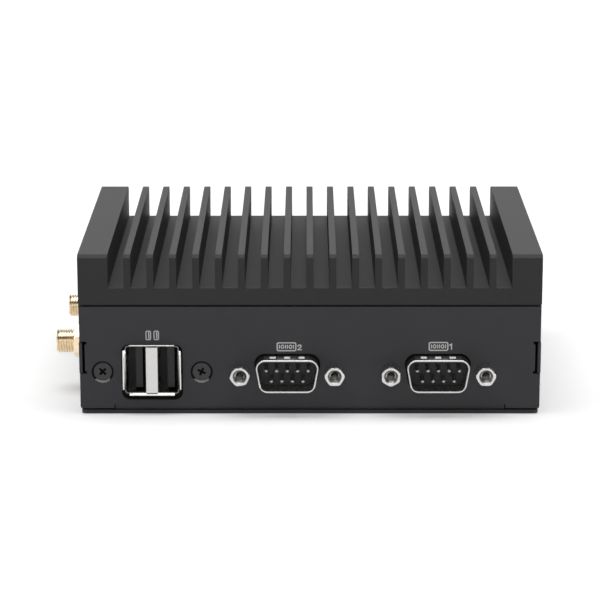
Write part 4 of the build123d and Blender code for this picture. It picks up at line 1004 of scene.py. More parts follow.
@dataclass
class SerialPorts:
    """The two nine-pin serial ports.

    Attributes:
        ports: Each port's number and the x of its centre.
        reach: How far the shells stand out.
        height: The height of a shell.
        rim_rounding: The rounding of a shell's front edge.
        rim_depth: How far back that edge's faces reach, at most.
        rim_inner: How far an inner face of that edge looks to the port's axis, at least, to take painted
            shade.
        rim_outer: How far an outer face of that edge looks away from the axis, at least, to take painted
            shade.
        rim_top: How far under a shell's top the painted shade of the outer edge ends; above it the edge keeps
            its bright nickel.
        dimple_y: How far behind the front edge the dimples' middles lie.
        dimple_half: Half the length of a dimple.
        dimple_depth: The depth of a dimple, at most.
        dimple_up: How far a dimple's face looks up, at least, to take the painted highlight.
        pin_radius: The radius of a pin.
        pin_recess: How far behind the front edge the pins end.
        pin_pitch: The distance of the pins in a row.
        row_spacing: The distance of the rows.
        tip: The rounding of a pin's tip, as shares of its radius with heights.
        leg: The width of a pin's leg.
        leg_y: How far behind the panel's face the lower row's legs lie.
        leg_drop: How far under the port's axis the legs end.
        rows: Each row's number of pins, and its side of the axis.
    """

    ports: tuple[tuple[str, float], ...] = (("2", SERIAL_CENTRES[0]), ("1", SERIAL_CENTRES[1]))
    reach: float = 4.8
    height: float = 9.06
    rim_rounding: float = 0.14
    rim_depth: float = 0.2
    rim_inner: float = 0.3
    rim_outer: float = 0.8
    rim_top: float = 1.0
    dimple_y: float = 2.5
    dimple_half: float = 1.05
    dimple_depth: float = 0.4
    dimple_up: float = 0.3
    pin_radius: float = 0.5
    pin_recess: float = 0.4
    pin_pitch: float = 2.77
    row_spacing: float = 2.84
    tip: tuple[Point2, ...] = ((0.0, 0.0), (0.45, 0.04), (0.78, 0.18), (0.95, 0.40), (1.0, 0.65))
    leg: float = 0.6
    leg_y: float = 12.0
    leg_drop: float = 6.2
    rows: tuple[tuple[int, int], ...] = ((5, 1), (4, -1))

    @property
    def rim_y(self) -> float:
        """The y of the shells' front edge."""
        return PANEL_FACE - self.reach

    @property
    def top(self) -> float:
        """The height of the shells' top."""
        return AXIS_Z + self.height / 2

    def build(self) -> None:
        """Dresses each port's shell and makes its pins."""
        for number, centre in self.ports:
            shell = Shape.of_node(f"serial_port_{number}_shell")
            shell.break_edges(
                self.rim_rounding, segments=3, sharper_than=60.0,
                where=lambda edge: all(vertex.co.y < self.rim_y + FLUSH for vertex in edge.verts),
            )
            # Painted shade: black on the shell's faces behind the panel's face.
            shell.paint(1, lambda face, middle: middle.y > PANEL_FACE + CLEAR)
            # Painted highlight: near white on the dimples' faces that look up.
            shell.paint(2, self.in_dimple)
            # Painted shade: dark nickel on the upper corners behind the rim and on the rim's outer rounding,
            # below the top.
            shell.paint(3, lambda face, middle: self.on_corner(face, middle) or (
                self.looks_out(face, middle, centre) > self.rim_outer and middle.z < self.top - self.rim_top
            ))
            # Painted shade: dimmer nickel on the rim's inner rounding.
            shell.paint(4, lambda face, middle: self.looks_out(face, middle, centre) < -self.rim_inner)
            shell.piece(
                f"serial_{number}_shell", Look.DULL_NICKEL, replaces=[f"serial_port_{number}_shell"],
                recalculate=False, more=[Look.DARK_STEEL, Look.SATIN, Look.THREAD, Look.BORE],
            )
            self.make_pins(number, centre)

    def in_dimple(self, face: bmesh.types.BMFace, middle: Vector) -> bool:
        """Whether a face belongs to a dimple of a shell's top and takes the painted highlight.

        Args:
            face: The face.
            middle: Its middle.

        Returns:
            True for a face a little under the top that looks up, in the dimples' row.
        """
        sunk = self.top - self.dimple_depth < middle.z < self.top - FLUSH
        in_row = abs(middle.y - self.rim_y - self.dimple_y) < self.dimple_half
        return sunk and in_row and face.normal.z > self.dimple_up

    def on_corner(self, face: bmesh.types.BMFace, middle: Vector) -> bool:
        """Whether a face belongs to the outside of a shell's upper corners, behind the rim, and takes painted
        shade.

        Args:
            face: The face.
            middle: Its middle.

        Returns:
            True for a slanting face over the axis, between the rim and the panel.
        """
        slanting = face.normal.z > LEAN and abs(face.normal.x) > LEAN
        behind = self.rim_y + self.rim_depth < middle.y <= PANEL_FACE + CLEAR
        return slanting and behind and middle.z > AXIS_Z

    def looks_out(self, face: bmesh.types.BMFace, middle: Vector, centre: float) -> float:
        """How far a face of the rim looks away from its port's axis.

        Args:
            face: The face.
            middle: Its middle.
            centre: The x of the port's centre.

        Returns:
            More than 0 outside the shell, less than 0 inside, and 0 behind the rim.
        """
        if middle.y >= self.rim_y + self.rim_depth:
            return 0.0
        return face.normal.x * (middle.x - centre) + face.normal.z * (middle.z - AXIS_Z)

    def make_pins(self, number: str, centre: float) -> None:
        """Makes the nine pins with round tips and their legs to the board.

        Args:
            number: The port's number.
            centre: The x of the port's centre.
        """
        pins = Shape()
        half = self.leg / 2
        start = self.pin_recess - self.reach
        for count, side in self.rows:
            reach = self.leg_y + (self.row_spacing if side > 0 else 0.0)
            length = reach - start
            pin = Shape()
            tip = [(share * self.pin_radius, height) for share, height in self.tip]
            pin.turned([*tip, (self.pin_radius, length), (0.0, length)], steps=16)
            z = AXIS_Z + side * self.row_spacing / 2
            offsets = [(index - (count - 1) / 2) * self.pin_pitch for index in range(count)]
            places = [Wall.FRONT.axis(centre + offset, z, start) for offset in offsets]
            pins.stamp(pin, places)
            for place in places:
                x, y = place.translation.x, PANEL_FACE + reach
                pins.box((x - half, y - half, AXIS_Z - self.leg_drop), (x + half, y + half, z))
        # Painted shade: the pins take the dimmer nickel, as they sit inside the shell.
        pins.piece(f"serial_{number}_pins", Look.BORE, replaces=[f"serial_port_{number}_pins"])


@dataclass
class DataPort:
    """The double data port with its flared shell, springs and divider.

    Attributes:
        slot_width: The width of a slot.
        slot_height: The height of a slot.
        divider: The width of the divider.
        lip_break: The rounding of the sheet's edges.
        longer_than: Shorter edges stay sharp.
        shell_half: Half the width and height of the shell.
        corner: How far across and up from the centre a corner starts.
        lip_low: How far under the centre the lower lip starts.
        lip_front: How far the lower lip's cut edge looks to the front, at least.
        gap_start: How far in front of the panel's face the painted shade of the gap round the shell starts.
        gap_reach: How far from the centre it starts, as a share of half the shell.
        facing_front: The size of a normal's y from which a corner's face looks to the front.
        spring_width: The width of a spring.
        spring: A spring's outline, as the distance from its slot's side and the distance inwards.
        spring_break: The width to which a spring's edges are broken.
        spring_height: How far over and under the middle a side's springs lie, as a share of a slot.
        spring_offset: How far left of its slot's middle an upper or lower spring lies.
        tongue_offset: How far right of its slot's left side a tongue's contacts lie.
        contact_steps: The contacts' heights over the middle, in pitches.
        contact_pitch: The distance of the contacts.
        contact_half: Half the width of a contact.
        contact_rise: How far a contact stands off its tongue.
        contact_root: How far it reaches into it.
        contact_start: How far behind the panel's face the contacts start.
        contact_length: The length of a contact.
    """

    slot_width: float = 5.3
    slot_height: float = 12.5
    divider: float = 3.1
    lip_break: float = 0.06
    longer_than: float = 0.25
    shell_half: Point2 = (6.85, 6.25)
    corner: Point2 = (6.1, 5.5)
    lip_low: float = 6.0
    lip_front: float = 0.2
    gap_start: float = 0.35
    gap_reach: float = 1.01
    facing_front: float = 0.5
    spring_width: float = 1.6
    spring: tuple[Point2, ...] = (
        (0.1, 1.2), (0.55, 4.2), (0.4125, 5.6), (0.2, 7.4), (0.1, 7.2), (0.2925, 5.5), (0.42, 4.2)
    )
    spring_break: float = 0.03
    spring_height: float = 0.27
    spring_offset: float = 0.6
    tongue_offset: float = 2.45
    contact_steps: tuple[float, ...] = (-1.5, -0.5, 0.5, 1.5)
    contact_pitch: float = 2.2
    contact_half: float = 0.5
    contact_rise: float = 0.06
    contact_root: float = 0.02
    contact_start: float = 3.0
    contact_length: float = 6.0

    def build(self) -> None:
        """Dresses the shell and the divider, and adds the springs and contacts of both slots."""
        for node, name, look in (
            ("data_port_shell", "flared_port_shell", Look.NICKEL),
            ("data_port_divider", "port_divider_plate", Look.DULL_NICKEL),
        ):
            shape = Shape.of_node(node)
            shape.break_edges(self.lip_break, longer_than=self.longer_than)
            # Painted shade: dark nickel on the cut edges, black in the gap round the shell and behind the
            # lips.
            shape.paint(2, self.on_cut)
            shape.paint(1, self.in_gap)
            shape.piece(name, look, replaces=[node], recalculate=False,
                        more=[Look.DARK_STEEL, Look.THREAD], flatten=look is Look.DULL_NICKEL)
        self.add_springs()
        self.lay_contacts()

    def in_corner(self, middle: Vector) -> bool:
        """Whether a point lies in a corner of the shell."""
        x, z = middle.x - PORT_CENTRE[0], middle.z - PORT_CENTRE[1]
        return abs(x) > self.corner[0] and abs(z) > self.corner[1]

    def in_gap(self, face: bmesh.types.BMFace, middle: Vector) -> bool:
        """Whether a face lies in the gap round the shell, between and behind the lips, and takes painted
        shade.

        Args:
            face: The face.
            middle: Its middle.

        Returns:
            True for an outside face of a corner or of what lies behind the lips.
        """
        x, z = middle.x - PORT_CENTRE[0], middle.z - PORT_CENTRE[1]
        outside = face.normal.x * x + face.normal.z * z > FLUSH
        corner = self.in_corner(middle) and face.normal.y > -self.facing_front
        reach = max(abs(x) / self.shell_half[0], abs(z) / self.shell_half[1])
        behind = middle.y > PANEL_FACE - self.gap_start and reach > self.gap_reach
        return outside and (corner or behind)

    def on_cut(self, face: bmesh.types.BMFace, middle: Vector) -> bool:
        """Whether a face belongs to the cut edge of the lower lip or of a corner, and takes painted shade.

        Args:
            face: The face.
            middle: Its middle.

        Returns:
            True for the lower lip's face that looks out and down, and a corner's that looks out.
        """
        under = middle.z < PORT_CENTRE[1] - self.lip_low
        lower = under and face.normal.z < -LEAN and face.normal.y < -self.lip_front
        return lower or (self.in_corner(middle) and face.normal.y <= -self.facing_front)

    def slot_middle(self, side: int) -> float:
        """The x of a slot's middle, left of the divider for side -1 and right of it for side 1."""
        return PORT_CENTRE[0] + side * (self.divider + self.slot_width) / 2

    def lay_contacts(self) -> None:
        """Lays four flat contact strips on each tongue's left side."""
        strips = Shape()
        start = PANEL_FACE + self.contact_start
        end = start + self.contact_length
        for side in (-1, 1):
            face = self.slot_middle(side) - self.slot_width / 2 + self.tongue_offset
            for step in self.contact_steps:
                middle = PORT_CENTRE[1] + step * self.contact_pitch
                strips.box((face - self.contact_rise, start, middle - self.contact_half),
                           (face + self.contact_root, end, middle + self.contact_half))
        strips.piece("port_contact_strips", Look.GOLD, replaces=["data_port_contacts"])

    def add_springs(self) -> None:
        """Adds two springs to each long side and one to each short side of both slots."""
        spring = Shape()
        spring.prism(self.spring, -self.spring_width / 2, self.spring_width / 2)
        spring.break_edges(self.spring_break, segments=1)
        places = []
        centre_z = PORT_CENTRE[1]
        half, half_height = self.slot_width / 2, self.slot_height / 2
        for side in (-1, 1):
            middle = self.slot_middle(side)
            for share in (-self.spring_height, self.spring_height):
                height = centre_z + share * self.slot_height
                places.append(Wall.FRONT.axis(middle - half, height, turn=0.0))
                places.append(Wall.FRONT.axis(middle + half, height, turn=180.0))
            for end in (-1, 1):
                x, z = middle - self.spring_offset, centre_z + end * half_height
                places.append(Wall.FRONT.axis(x, z, turn=90.0 * end))
        springs = Shape()
        springs.stamp(spring, places)
        springs.piece("port_springs", Look.NICKEL)


# The rear


@dataclass
class RearSockets:
    """The contacts, windows and rounded edges of the rear's sockets, its button and its light.

    The places are x and z on the rear wall. Outlines are in y inwards and z, those of springs in y
    inwards and the distance from the wall of their bore. Profiles are in radius and y inwards.
    """

    longer_than: float = 0.4
    network: tuple[float, float] = (22.0, 41.0)
    wire: tuple[Point2, ...] = (
        (0.9, 16.85), (1.3, 16.85), (8.6, 14.2), (11.6, 14.2), (11.6, 13.95), (8.5, 13.95), (0.9, 16.55)
    )
    wires: int = 8
    wire_width: float = 0.32
    wire_break: float = 0.04
    wire_pitch: float = 1.02
    window_offset: float = 5.6
    window_half: float = 1.3
    window_y: Point2 = (-0.36, -0.2)
    window_z: Point2 = (17.25, 18.45)
    window_break: float = 0.05
    display: tuple[float, float] = (-15.0, 3.0)
    display_z: float = 8.7
    display_rows: tuple[tuple[int, int], ...] = ((1, 10), (-1, 9))
    tongue_half: float = 0.65
    strip: Point2 = (0.22, 0.05)
    strip_y: Point2 = (1.5, 7.5)
    inlet: Point2 = (-31.0, 10.9)
    inlet_bore: float = 3.1
    pin_radius: float = 1.0
    pin_start: float = 0.8
    pin_end: float = 9.5
    pin_profile: tuple[Point2, ...] = (
        (0.0, 0.0), (0.35, 0.06), (0.7, 0.26), (0.92, 0.6), (1.0, 1.0), (1.0, 3.0), (0.92, 3.1),
        (0.92, 3.4), (1.0, 3.5)
    )
    leaf: tuple[Point2, ...] = ((1.6, 0.0), (1.7, 0.12), (5.2, 0.62), (7.6, 0.25), (9.3, 0.25), (9.3, 0.0))
    leaf_width: float = 1.4
    leaf_break: float = 0.05
    button_x: float = -42.0
    button_face: tuple[Point2, ...] = (
        (0.0, 0.12), (2.2, 0.12), (2.45, 0.072), (2.6, 0.0), (2.8, 0.0), (2.95, 0.07), (3.0, 0.22)
    )
    button_rim: Point2 = (4.0, 1.0)
    button_rim_gap: float = 0.25
    button_boss: Point2 = (1.5, 1.5)
    button_reach: float = 0.8
    symbol_radius: float = 1.35
    symbol_stroke: float = 0.28
    light_x: float = -50.0
    light_reach: float = 0.42
    lens: tuple[Point2, ...] = (
        (0.0, 0.0), (0.35, 0.03), (0.65, 0.13), (0.86, 0.29), (0.94, 0.45), (0.0, 0.45)
    )

    def build(self) -> None:
        """Dresses every socket of the rear panel."""
        for node, name, look, width in (
            ("network_socket_shells", "network_shields", Look.NICKEL, 0.10),
            ("display_socket_shells", "display_shields", Look.NICKEL, 0.08),
            ("power_inlet_body", "inlet_housing", Look.BLACK_PLASTIC, 0.15),
        ):
            shape = Shape.of_node(node)
            shape.break_edges(width, longer_than=self.longer_than)
            shape.piece(name, look, replaces=[node], recalculate=False)
        self.add_network_contacts()
        self.add_windows()
        self.add_display_contacts()
        self.add_inlet_pin()
        self.add_inlet_spring()
        self.add_button()
        self.add_light()

    def add_network_contacts(self) -> None:
        """Adds eight slanting spring wires to each network socket."""
        wire = Shape()
        wire.prism(self.wire, -self.wire_width / 2, self.wire_width / 2)
        wire.break_edges(self.wire_break, segments=1)
        inwards = Matrix.Rotation(math.radians(90), 4, "Z")
        offsets = [(step - (self.wires - 1) / 2) * self.wire_pitch for step in range(self.wires)]
        wires = Shape()
        wires.stamp(wire, [
            Wall.REAR.place @ Matrix.Translation((centre + offset, 0.0, 0.0)) @ inwards
            for centre in self.network for offset in offsets
        ])
        wires.piece("network_contacts", Look.GOLD)

    def add_windows(self) -> None:
        """Adds the two light windows over each network socket's mouth."""
        (front, back), (bottom, top) = self.window_y, self.window_z
        for side, look in ((-1, Look.GREEN_LENS), (1, Look.AMBER_LENS)):
            windows = Shape()
            for centre in self.network:
                middle = centre + side * self.window_offset
                window = Shape()
                window.box((middle - self.window_half, front, bottom), (middle + self.window_half, back, top))
                window.break_edges(self.window_break)
                windows.stamp(window, [Wall.REAR.place])
            windows.piece(f"{look.name.lower()}_windows", look)

    def add_display_contacts(self) -> None:
        """Lays contact strips over and under each display socket's tongue."""
        strips = Shape()
        (half, thickness), (start, end) = self.strip, self.strip_y
        for centre in self.display:
            for side, count in self.display_rows:
                face = self.display_z + side * self.tongue_half
                low, high = sorted((face, face + side * thickness))
                for step in range(count):
                    middle = centre + step - (count - 1) / 2
                    strips.box((middle - half, start, low), (middle + half, end, high))
        placed = Shape()
        placed.stamp(strips, [Wall.REAR.place])
        placed.piece("display_contacts", Look.GOLD)

    def add_inlet_pin(self) -> None:
        """Gives the inlet's pin a round tip with a slit ring."""
        pin = Shape()
        radius, length = self.pin_radius, self.pin_end - self.pin_start
        tip = [(share * radius, height) for share, height in self.pin_profile]
        pin.turned([*tip, (radius, length), (0.0, length)], steps=32)
        placed = Shape()
        placed.stamp(pin, [Wall.REAR.axis(*self.inlet, self.pin_start)])
        placed.piece("inlet_round_pin", Look.NICKEL, replaces=["power_inlet_pin"])

    def add_inlet_spring(self) -> None:
        """Gives the inlet's bore a leaf spring."""
        leaf = Shape()
        leaf.prism(self.leaf, -self.leaf_width / 2, self.leaf_width / 2)
        leaf.break_edges(self.leaf_break, segments=1)
        turn = Matrix.Rotation(math.radians(90), 4, "Z")
        foot = Matrix.Translation((self.inlet[0], 0.0, self.inlet[1] - self.inlet_bore))
        spring = Shape()
        spring.stamp(leaf, [Wall.REAR.place @ foot @ turn])
        spring.piece("inlet_leaf_spring", Look.NICKEL)

    def add_button(self) -> None:
        """Makes the dished power button and its sunk symbol."""
        button = Shape()
        dish, radius = self.button_face[0][1], self.button_face[-1][0]
        rim = self.button_reach + PANEL_SHEET + self.button_rim_gap
        boss = rim + self.button_rim[1]
        end = boss + self.button_boss[1]
        button.turned([
            *self.button_face, (radius, rim), (self.button_rim[0], rim), (self.button_rim[0], boss),
            (self.button_boss[0], boss), (self.button_boss[0], end), (0.0, end),
        ])
        placed = Shape()
        placed.stamp(button, [Wall.REAR.axis(self.button_x, AXIS_Z, -self.button_reach)])
        placed.piece("dished_button", Look.BLACK_PLASTIC, body=Body.BUTTON, replaces=["power_button"])
        symbol = Print(Wall.REAR, y=dish - self.button_reach)
        symbol.arc((self.button_x, AXIS_Z), self.symbol_radius, self.symbol_stroke, start=125.0, sweep=290.0)
        symbol.line([(self.button_x, AXIS_Z + 0.3), (self.button_x, AXIS_Z + 1.6)], self.symbol_stroke)
        symbol.piece("button_symbol", Body.BUTTON)

    def add_light(self) -> None:
        """Adds the status light's domed lens."""
        lens = Shape()
        lens.turned(self.lens, steps=32)
        placed = Shape()
        placed.stamp(lens, [Wall.REAR.axis(self.light_x, AXIS_Z, -self.light_reach)])
        placed.piece("domed_lens", Look.GREEN_LENS)


# The print


class Print:
    """Marks screen-printed on a wall, made of strokes.

    Attributes:
        DIGITS: The strokes of the digits, in shares of their height.
        MITRE_LIMIT: The least cosine of a mitre, which keeps sharp corners short.
        ARC_STEPS: The number of straight parts of an arc.
        CORNER_CUT: The cut of a box's corners, in stroke widths.
    """

    DIGITS = {
        "1": [(0.12, 0.78), (0.46, 1.0), (0.46, 0.0)],
        "2": [
            (0.04, 0.74), (0.12, 0.92), (0.34, 1.0), (0.58, 0.94), (0.68, 0.76), (0.60, 0.56),
            (0.02, 0.0), (0.72, 0.0),
        ],
    }
    MITRE_LIMIT = 0.5
    ARC_STEPS = 20
    CORNER_CUT = 0.8

    def __init__(self, wall: Wall, y: float = 0.0, thickness: float = 0.02) -> None:
        """Takes the wall, how far in its face lies and the ink's thickness."""
        self.wall, self.y, self.thickness = wall, y, thickness
        self.marks = Shape()

    def line(self, points: Sequence[Point2], width: float, closed: bool = False) -> None:
        """Draws one stroke through the points, mitred at its corners.

        Args:
            points: The points of its middle line.
            width: Its width.
            closed: Whether it runs back to its first point.
        """
        mesh, start, nowhere = self.marks.mesh, self.y - self.thickness, Vector((0.0, 0.0))
        spots = [Vector(point) for point in points]
        last = len(spots) - 1
        sides = []
        for index, spot in enumerate(spots):
            into = (spot - spots[index - 1]).normalized() if closed or index > 0 else nowhere
            out = (spots[index - last] - spot).normalized() if closed or index < last else nowhere
            along = (into + out).normalized()
            if not closed and index in (0, last):
                spot = spot + (along if index else -along) * width / 2
            mitre = max(along.dot(into), along.dot(out), self.MITRE_LIMIT)
            across = Vector((-along.y, along.x)) * width / 2 / mitre
            sides.append([mesh.verts.new((x, start, z)) for x, z in (spot + across, spot - across)])
        ends = sides[1:] + (sides[:1] if closed else [])
        faces = [mesh.faces.new((*first, *reversed(second))) for first, second in zip(sides, ends)]
        self.marks.thicken(faces, self.thickness)

    def arc(self, centre: Point2, radius: float, width: float, start: float = 0.0, sweep: float = 360.0,
            squeeze: float = 1.0) -> None:
        """Draws an arc.

        Args:
            centre: Its centre.
            radius: The radius of its middle line.
            width: The stroke's width.
            start: The angle at which it starts, in degrees.
            sweep: How far round it goes, in degrees.
            squeeze: The factor by which it is narrowed across.
        """
        x, z = centre
        parts = range(self.ARC_STEPS + (sweep < 360))
        angles = [math.radians(start + sweep * part / self.ARC_STEPS) for part in parts]
        points = [(x + squeeze * radius * math.cos(angle), z + radius * math.sin(angle)) for angle in angles]
        self.line(points, width, closed=sweep == 360)

    def box(self, low: Point2, high: Point2, width: float) -> None:
        """Draws the outline of a box with cut corners.

        Args:
            low: Its outer corner on the lower left.
            high: Its outer corner on the upper right.
            width: The stroke's width.
        """
        left, bottom = (value + width / 2 for value in low)
        right, top = (value - width / 2 for value in high)
        cut = self.CORNER_CUT * width
        self.line([
            (left + cut, bottom), (right - cut, bottom), (right, bottom + cut), (right, top - cut),
            (right - cut, top), (left + cut, top), (left, top - cut), (left, bottom + cut),
        ], width, closed=True)

    def digit(self, text: str, low: Point2, height: float, width: float) -> None:
        """Draws a digit from its lower left corner."""
        self.line([(low[0] + x * height, low[1] + z * height) for x, z in self.DIGITS[text]], width)

    def piece(self, name: str, body: Body = Body.CASE) -> None:
        """Turns the marks into a piece on their wall.

        Args:
            name: The piece's name.
            body: The CAD body that it rides on.
        """
        placed = Shape()
        placed.stamp(self.marks, [self.wall.place])
        placed.piece(name, Look.INK, body=body)


@dataclass
class PanelPrint:
    """The symbols over the sockets, front and rear.

    Attributes:
        stroke: The width of most strokes.
        fine: The width of fine strokes.
        digit_height: The height of a digit.
        serial: Each serial port's digit, the digit's height, its corner and the symbol's.
        serial_box: The width and height of a serial port's symbol.
        slots: The left side of each data slot's symbol.
        slot_low: The lower side of a data slot's symbol.
        slot_box: The width and height of a data slot's symbol.
        network: Each network socket's digit and centre.
        network_mark: The places of the symbol and of the digit, from a network socket's centre.
        display: Each display socket's digit and centre.
        display_mark: The places of the symbol and of the digit, from a display socket's centre.
        inlet: The middle of the inlet's symbol.
    """

    stroke: float = 0.32
    fine: float = 0.25
    digit_height: float = 1.32
    serial: tuple[tuple[str, float, Point2, Point2], ...] = (
        ("2", 1.32, (-3.22, 17.68), (-8.81, 17.26)),
        ("1", 1.36, (36.72, 17.86), (31.31, 17.35)),
    )
    serial_box: Point2 = (5.24, 2.47)
    slots: tuple[float, float] = (-43.35, -41.25)
    slot_low: float = 20.3
    slot_box: Point2 = (1.45, 2.6)
    network: tuple[tuple[str, float], ...] = (("1", 22.0), ("2", 41.0))
    network_mark: tuple[Point2, Point2] = ((-0.9, 20.6), (1.5, 20.8))
    display: tuple[tuple[str, float], ...] = (("1", -15.0), ("2", 3.0))
    display_mark: tuple[Point2, Point2] = ((-0.9, 14.0), (1.6, 14.1))
    inlet: Point2 = (-31.0, 20.0)

    def build(self) -> None:
        """Prints both panels."""
        front = Print(Wall.FRONT)
        for text, height, digit_low, symbol_low in self.serial:
            self.serial_symbol(front, symbol_low)
            front.digit(text, digit_low, height, self.stroke)
        for left in self.slots:
            self.slot_symbol(front, left)
        front.piece("front_print")
        rear = Print(Wall.REAR)
        for centres, mark, draw in (
            (self.network, self.network_mark, self.network_symbol),
            (self.display, self.display_mark, self.display_symbol),
        ):
            for text, centre in centres:
                symbol, digit = ((centre + x, z) for x, z in mark)
                draw(rear, symbol)
                rear.digit(text, digit, self.digit_height, self.stroke)
        self.inlet_symbol(rear, self.inlet)
        rear.piece("rear_print")

    def serial_symbol(self, marks: Print, low: Point2) -> None:
        """A box that holds bars and rings.

        Args:
            marks: The print that it joins.
            low: Its lower left corner.
        """
        width, height = self.serial_box
        marks.box(low, (low[0] + width, low[1] + height), self.stroke)
        x, z = low[0] + width / 2, low[1] + height / 2
        for offset in (-1.85, -0.24, 0.24, 1.85):
            marks.line([(x + offset, z - 0.42), (x + offset, z + 0.42)], self.fine)
        for offset in (-1.05, 1.05):
            marks.arc((x + offset, z), 0.46, self.fine, squeeze=0.8)

    def slot_symbol(self, marks: Print, left: float) -> None:
        """An upright slot with its tongue.

        Args:
            marks: The print that it joins.
            left: Its left side.
        """
        low, (width, height) = self.slot_low, self.slot_box
        marks.box((left, low), (left + width, low + height), self.fine)
        marks.line([(left + 0.85, low + 0.55), (left + 0.85, low + 2.05)], self.stroke)

    def network_symbol(self, marks: Print, middle: Point2) -> None:
        """Three boxes joined by lines.

        Args:
            marks: The print that it joins.
            middle: The middle of its lines.
        """
        x, z = middle
        for dx, dz in ((0.0, 1.0), (-1.1, -0.5), (1.1, -0.5)):
            marks.box((x + dx - 0.5, z + dz), (x + dx + 0.5, z + dz + 0.85), self.fine)
        marks.line([(x - 1.1, z + 0.5), (x + 1.1, z + 0.5)], self.fine)
        marks.line([(x, z + 0.55), (x, z + 0.95)], self.fine)

    def display_symbol(self, marks: Print, foot: Point2) -> None:
        """A screen on its foot.

        Args:
            marks: The print that it joins.
            foot: The middle of its foot.
        """
        x, z = foot
        marks.box((x - 1.5, z + 0.5), (x + 1.5, z + 2.3), self.stroke)
        marks.line([(x - 0.7, z), (x + 0.7, z)], self.stroke)

    def inlet_symbol(self, marks: Print, middle: Point2) -> None:
        """The sign of a plug whose centre is the positive pole.

        Args:
            marks: The print that it joins.
            middle: Its middle.
        """
        x, z = middle
        marks.arc(middle, 0.22, 0.44)
        marks.arc(middle, 0.85, self.fine, start=45.0, sweep=270.0)
        for side in (-1, 1):
            marks.line([(x + side * 0.5, z), (x + side * 1.7, z)], self.fine)
            marks.line([(x + side * 2.2, z), (x + side * 3.0, z)], self.fine)
        marks.line([(x + 2.6, z - 0.4), (x + 2.6, z + 0.4)], self.fine)


# The antenna jacks


@dataclass
class AntennaJacks:
    """The two gold-plated antenna jacks with their nuts and washers."""

    height: float = 13.45
    spacing: float = 38.14
    reach: float = 8.0
    pitch: float = 0.7056
    crest: float = 3.175
    root: float = 2.76
    thread_length: float = 4.7
    thread_chamfer: float = 0.3
    neck: float = 2.85
    bore: float = 2.1
    bore_edge: float = 0.2
    bore_depth: float = 10.2
    shoulder_flats: float = 8.0
    shoulder_gap: float = 0.8
    shoulder_thickness: float = 2.0
    ferrule: float = 1.8
    ferrule_length: float = 7.0
    nut_flats: float = 7.9
    nut_thickness: float = 2.3
    nut_edge: float = 0.1
    nut_shares: tuple[float, ...] = (0.1, 0.4, 0.7, 1.0)
    washer_radius: float = 4.4
    washer_thickness: float = 1.0
    washer_edge: float = 0.12
    hole_play: float = 0.02

    def build(self) -> None:
        """Makes the jacks and what holds them on the wall."""
        for name, side in (("front", 1), ("rear", -1)):
            jack = self.make_jack()
            jacks = Shape()
            jacks.stamp(jack, [self.place(side, -self.reach)])
            jacks.piece(f"threaded_jack_{name}", Look.GOLD, replaces=[f"antenna_jack_{name}"])
        both = (1, -1)
        nuts = Shape()
        nuts.stamp(self.make_nut(), [
            self.place(side, -self.washer_thickness - self.nut_thickness, 30.0) for side in both
        ])
        nuts.piece("hexagon_nuts", Look.GOLD, replaces=["antenna_nuts"])
        washers = Shape()
        washers.stamp(self.make_washer(), [self.place(side, -self.washer_thickness) for side in both])
        washers.piece("flat_washers", Look.GOLD, replaces=["antenna_washers"])

    def place(self, side: int, y: float, turn: float = 0.0) -> Matrix:
        """The place of a part on one jack's axis, in the left wall's frame."""
        return Wall.LEFT.axis(side * self.spacing / 2, self.height, y, turn)

    def make_jack(self) -> Shape:
        """Makes one jack.

        Returns:
            The jack, its tip at height 0.
        """
        jack = Shape()
        tip, end = jack.thread(
            self.thread_length, self.pitch, self.crest, self.root,
            lambda radius, height: min(radius, self.crest - self.thread_chamfer + height),
        )
        jack.carry_on(tip, [
            (self.bore + self.bore_edge, 0.0), (self.bore, self.bore_edge), (self.bore, self.bore_depth),
            (0.0, self.bore_depth),
        ])
        wall = self.reach + self.shoulder_gap
        shoulder = wall + self.shoulder_thickness
        outline = hexagon(self.shoulder_flats)
        jack.carry_on(end, [
            (self.neck, self.thread_length), (self.neck, wall), (outline, wall), (outline, shoulder),
            (self.ferrule, shoulder), (self.ferrule, shoulder + self.ferrule_length),
            (0.0, shoulder + self.ferrule_length),
        ])
        return jack

    def make_nut(self) -> Shape:
        """Makes one nut.

        Returns:
            The nut, its outer face at height 0.
        """
        nut = Shape()
        flats, thickness, edge = self.nut_flats, self.nut_thickness, self.nut_edge
        hole = self.neck + self.hole_play
        corner = flats / 2 / math.cos(math.pi / 6)
        nut.carry_on(nut.rim(hole, edge), [
            (hole + edge, 0.0), (flats / 2 - edge / 2, 0.0), *turned_corners(flats, corner, self.nut_shares),
            (hexagon(flats), thickness), (hole, thickness), (hole, edge),
        ])
        bmesh.ops.remove_doubles(nut.mesh, verts=nut.mesh.verts, dist=WELD)
        return nut

    def make_washer(self) -> Shape:
        """Makes one washer.

        Returns:
            The washer, its outer face at height 0.
        """
        washer = Shape()
        outer, hole, end = self.washer_radius, self.neck + self.hole_play, self.washer_thickness
        edge = self.washer_edge
        washer.turned([
            (hole, edge), (hole + edge, 0.0), (outer - edge, 0.0), (outer, edge), (outer, end - edge),
            (outer - edge, end), (hole, end), (hole, edge),
        ])
        return washer


# The studio


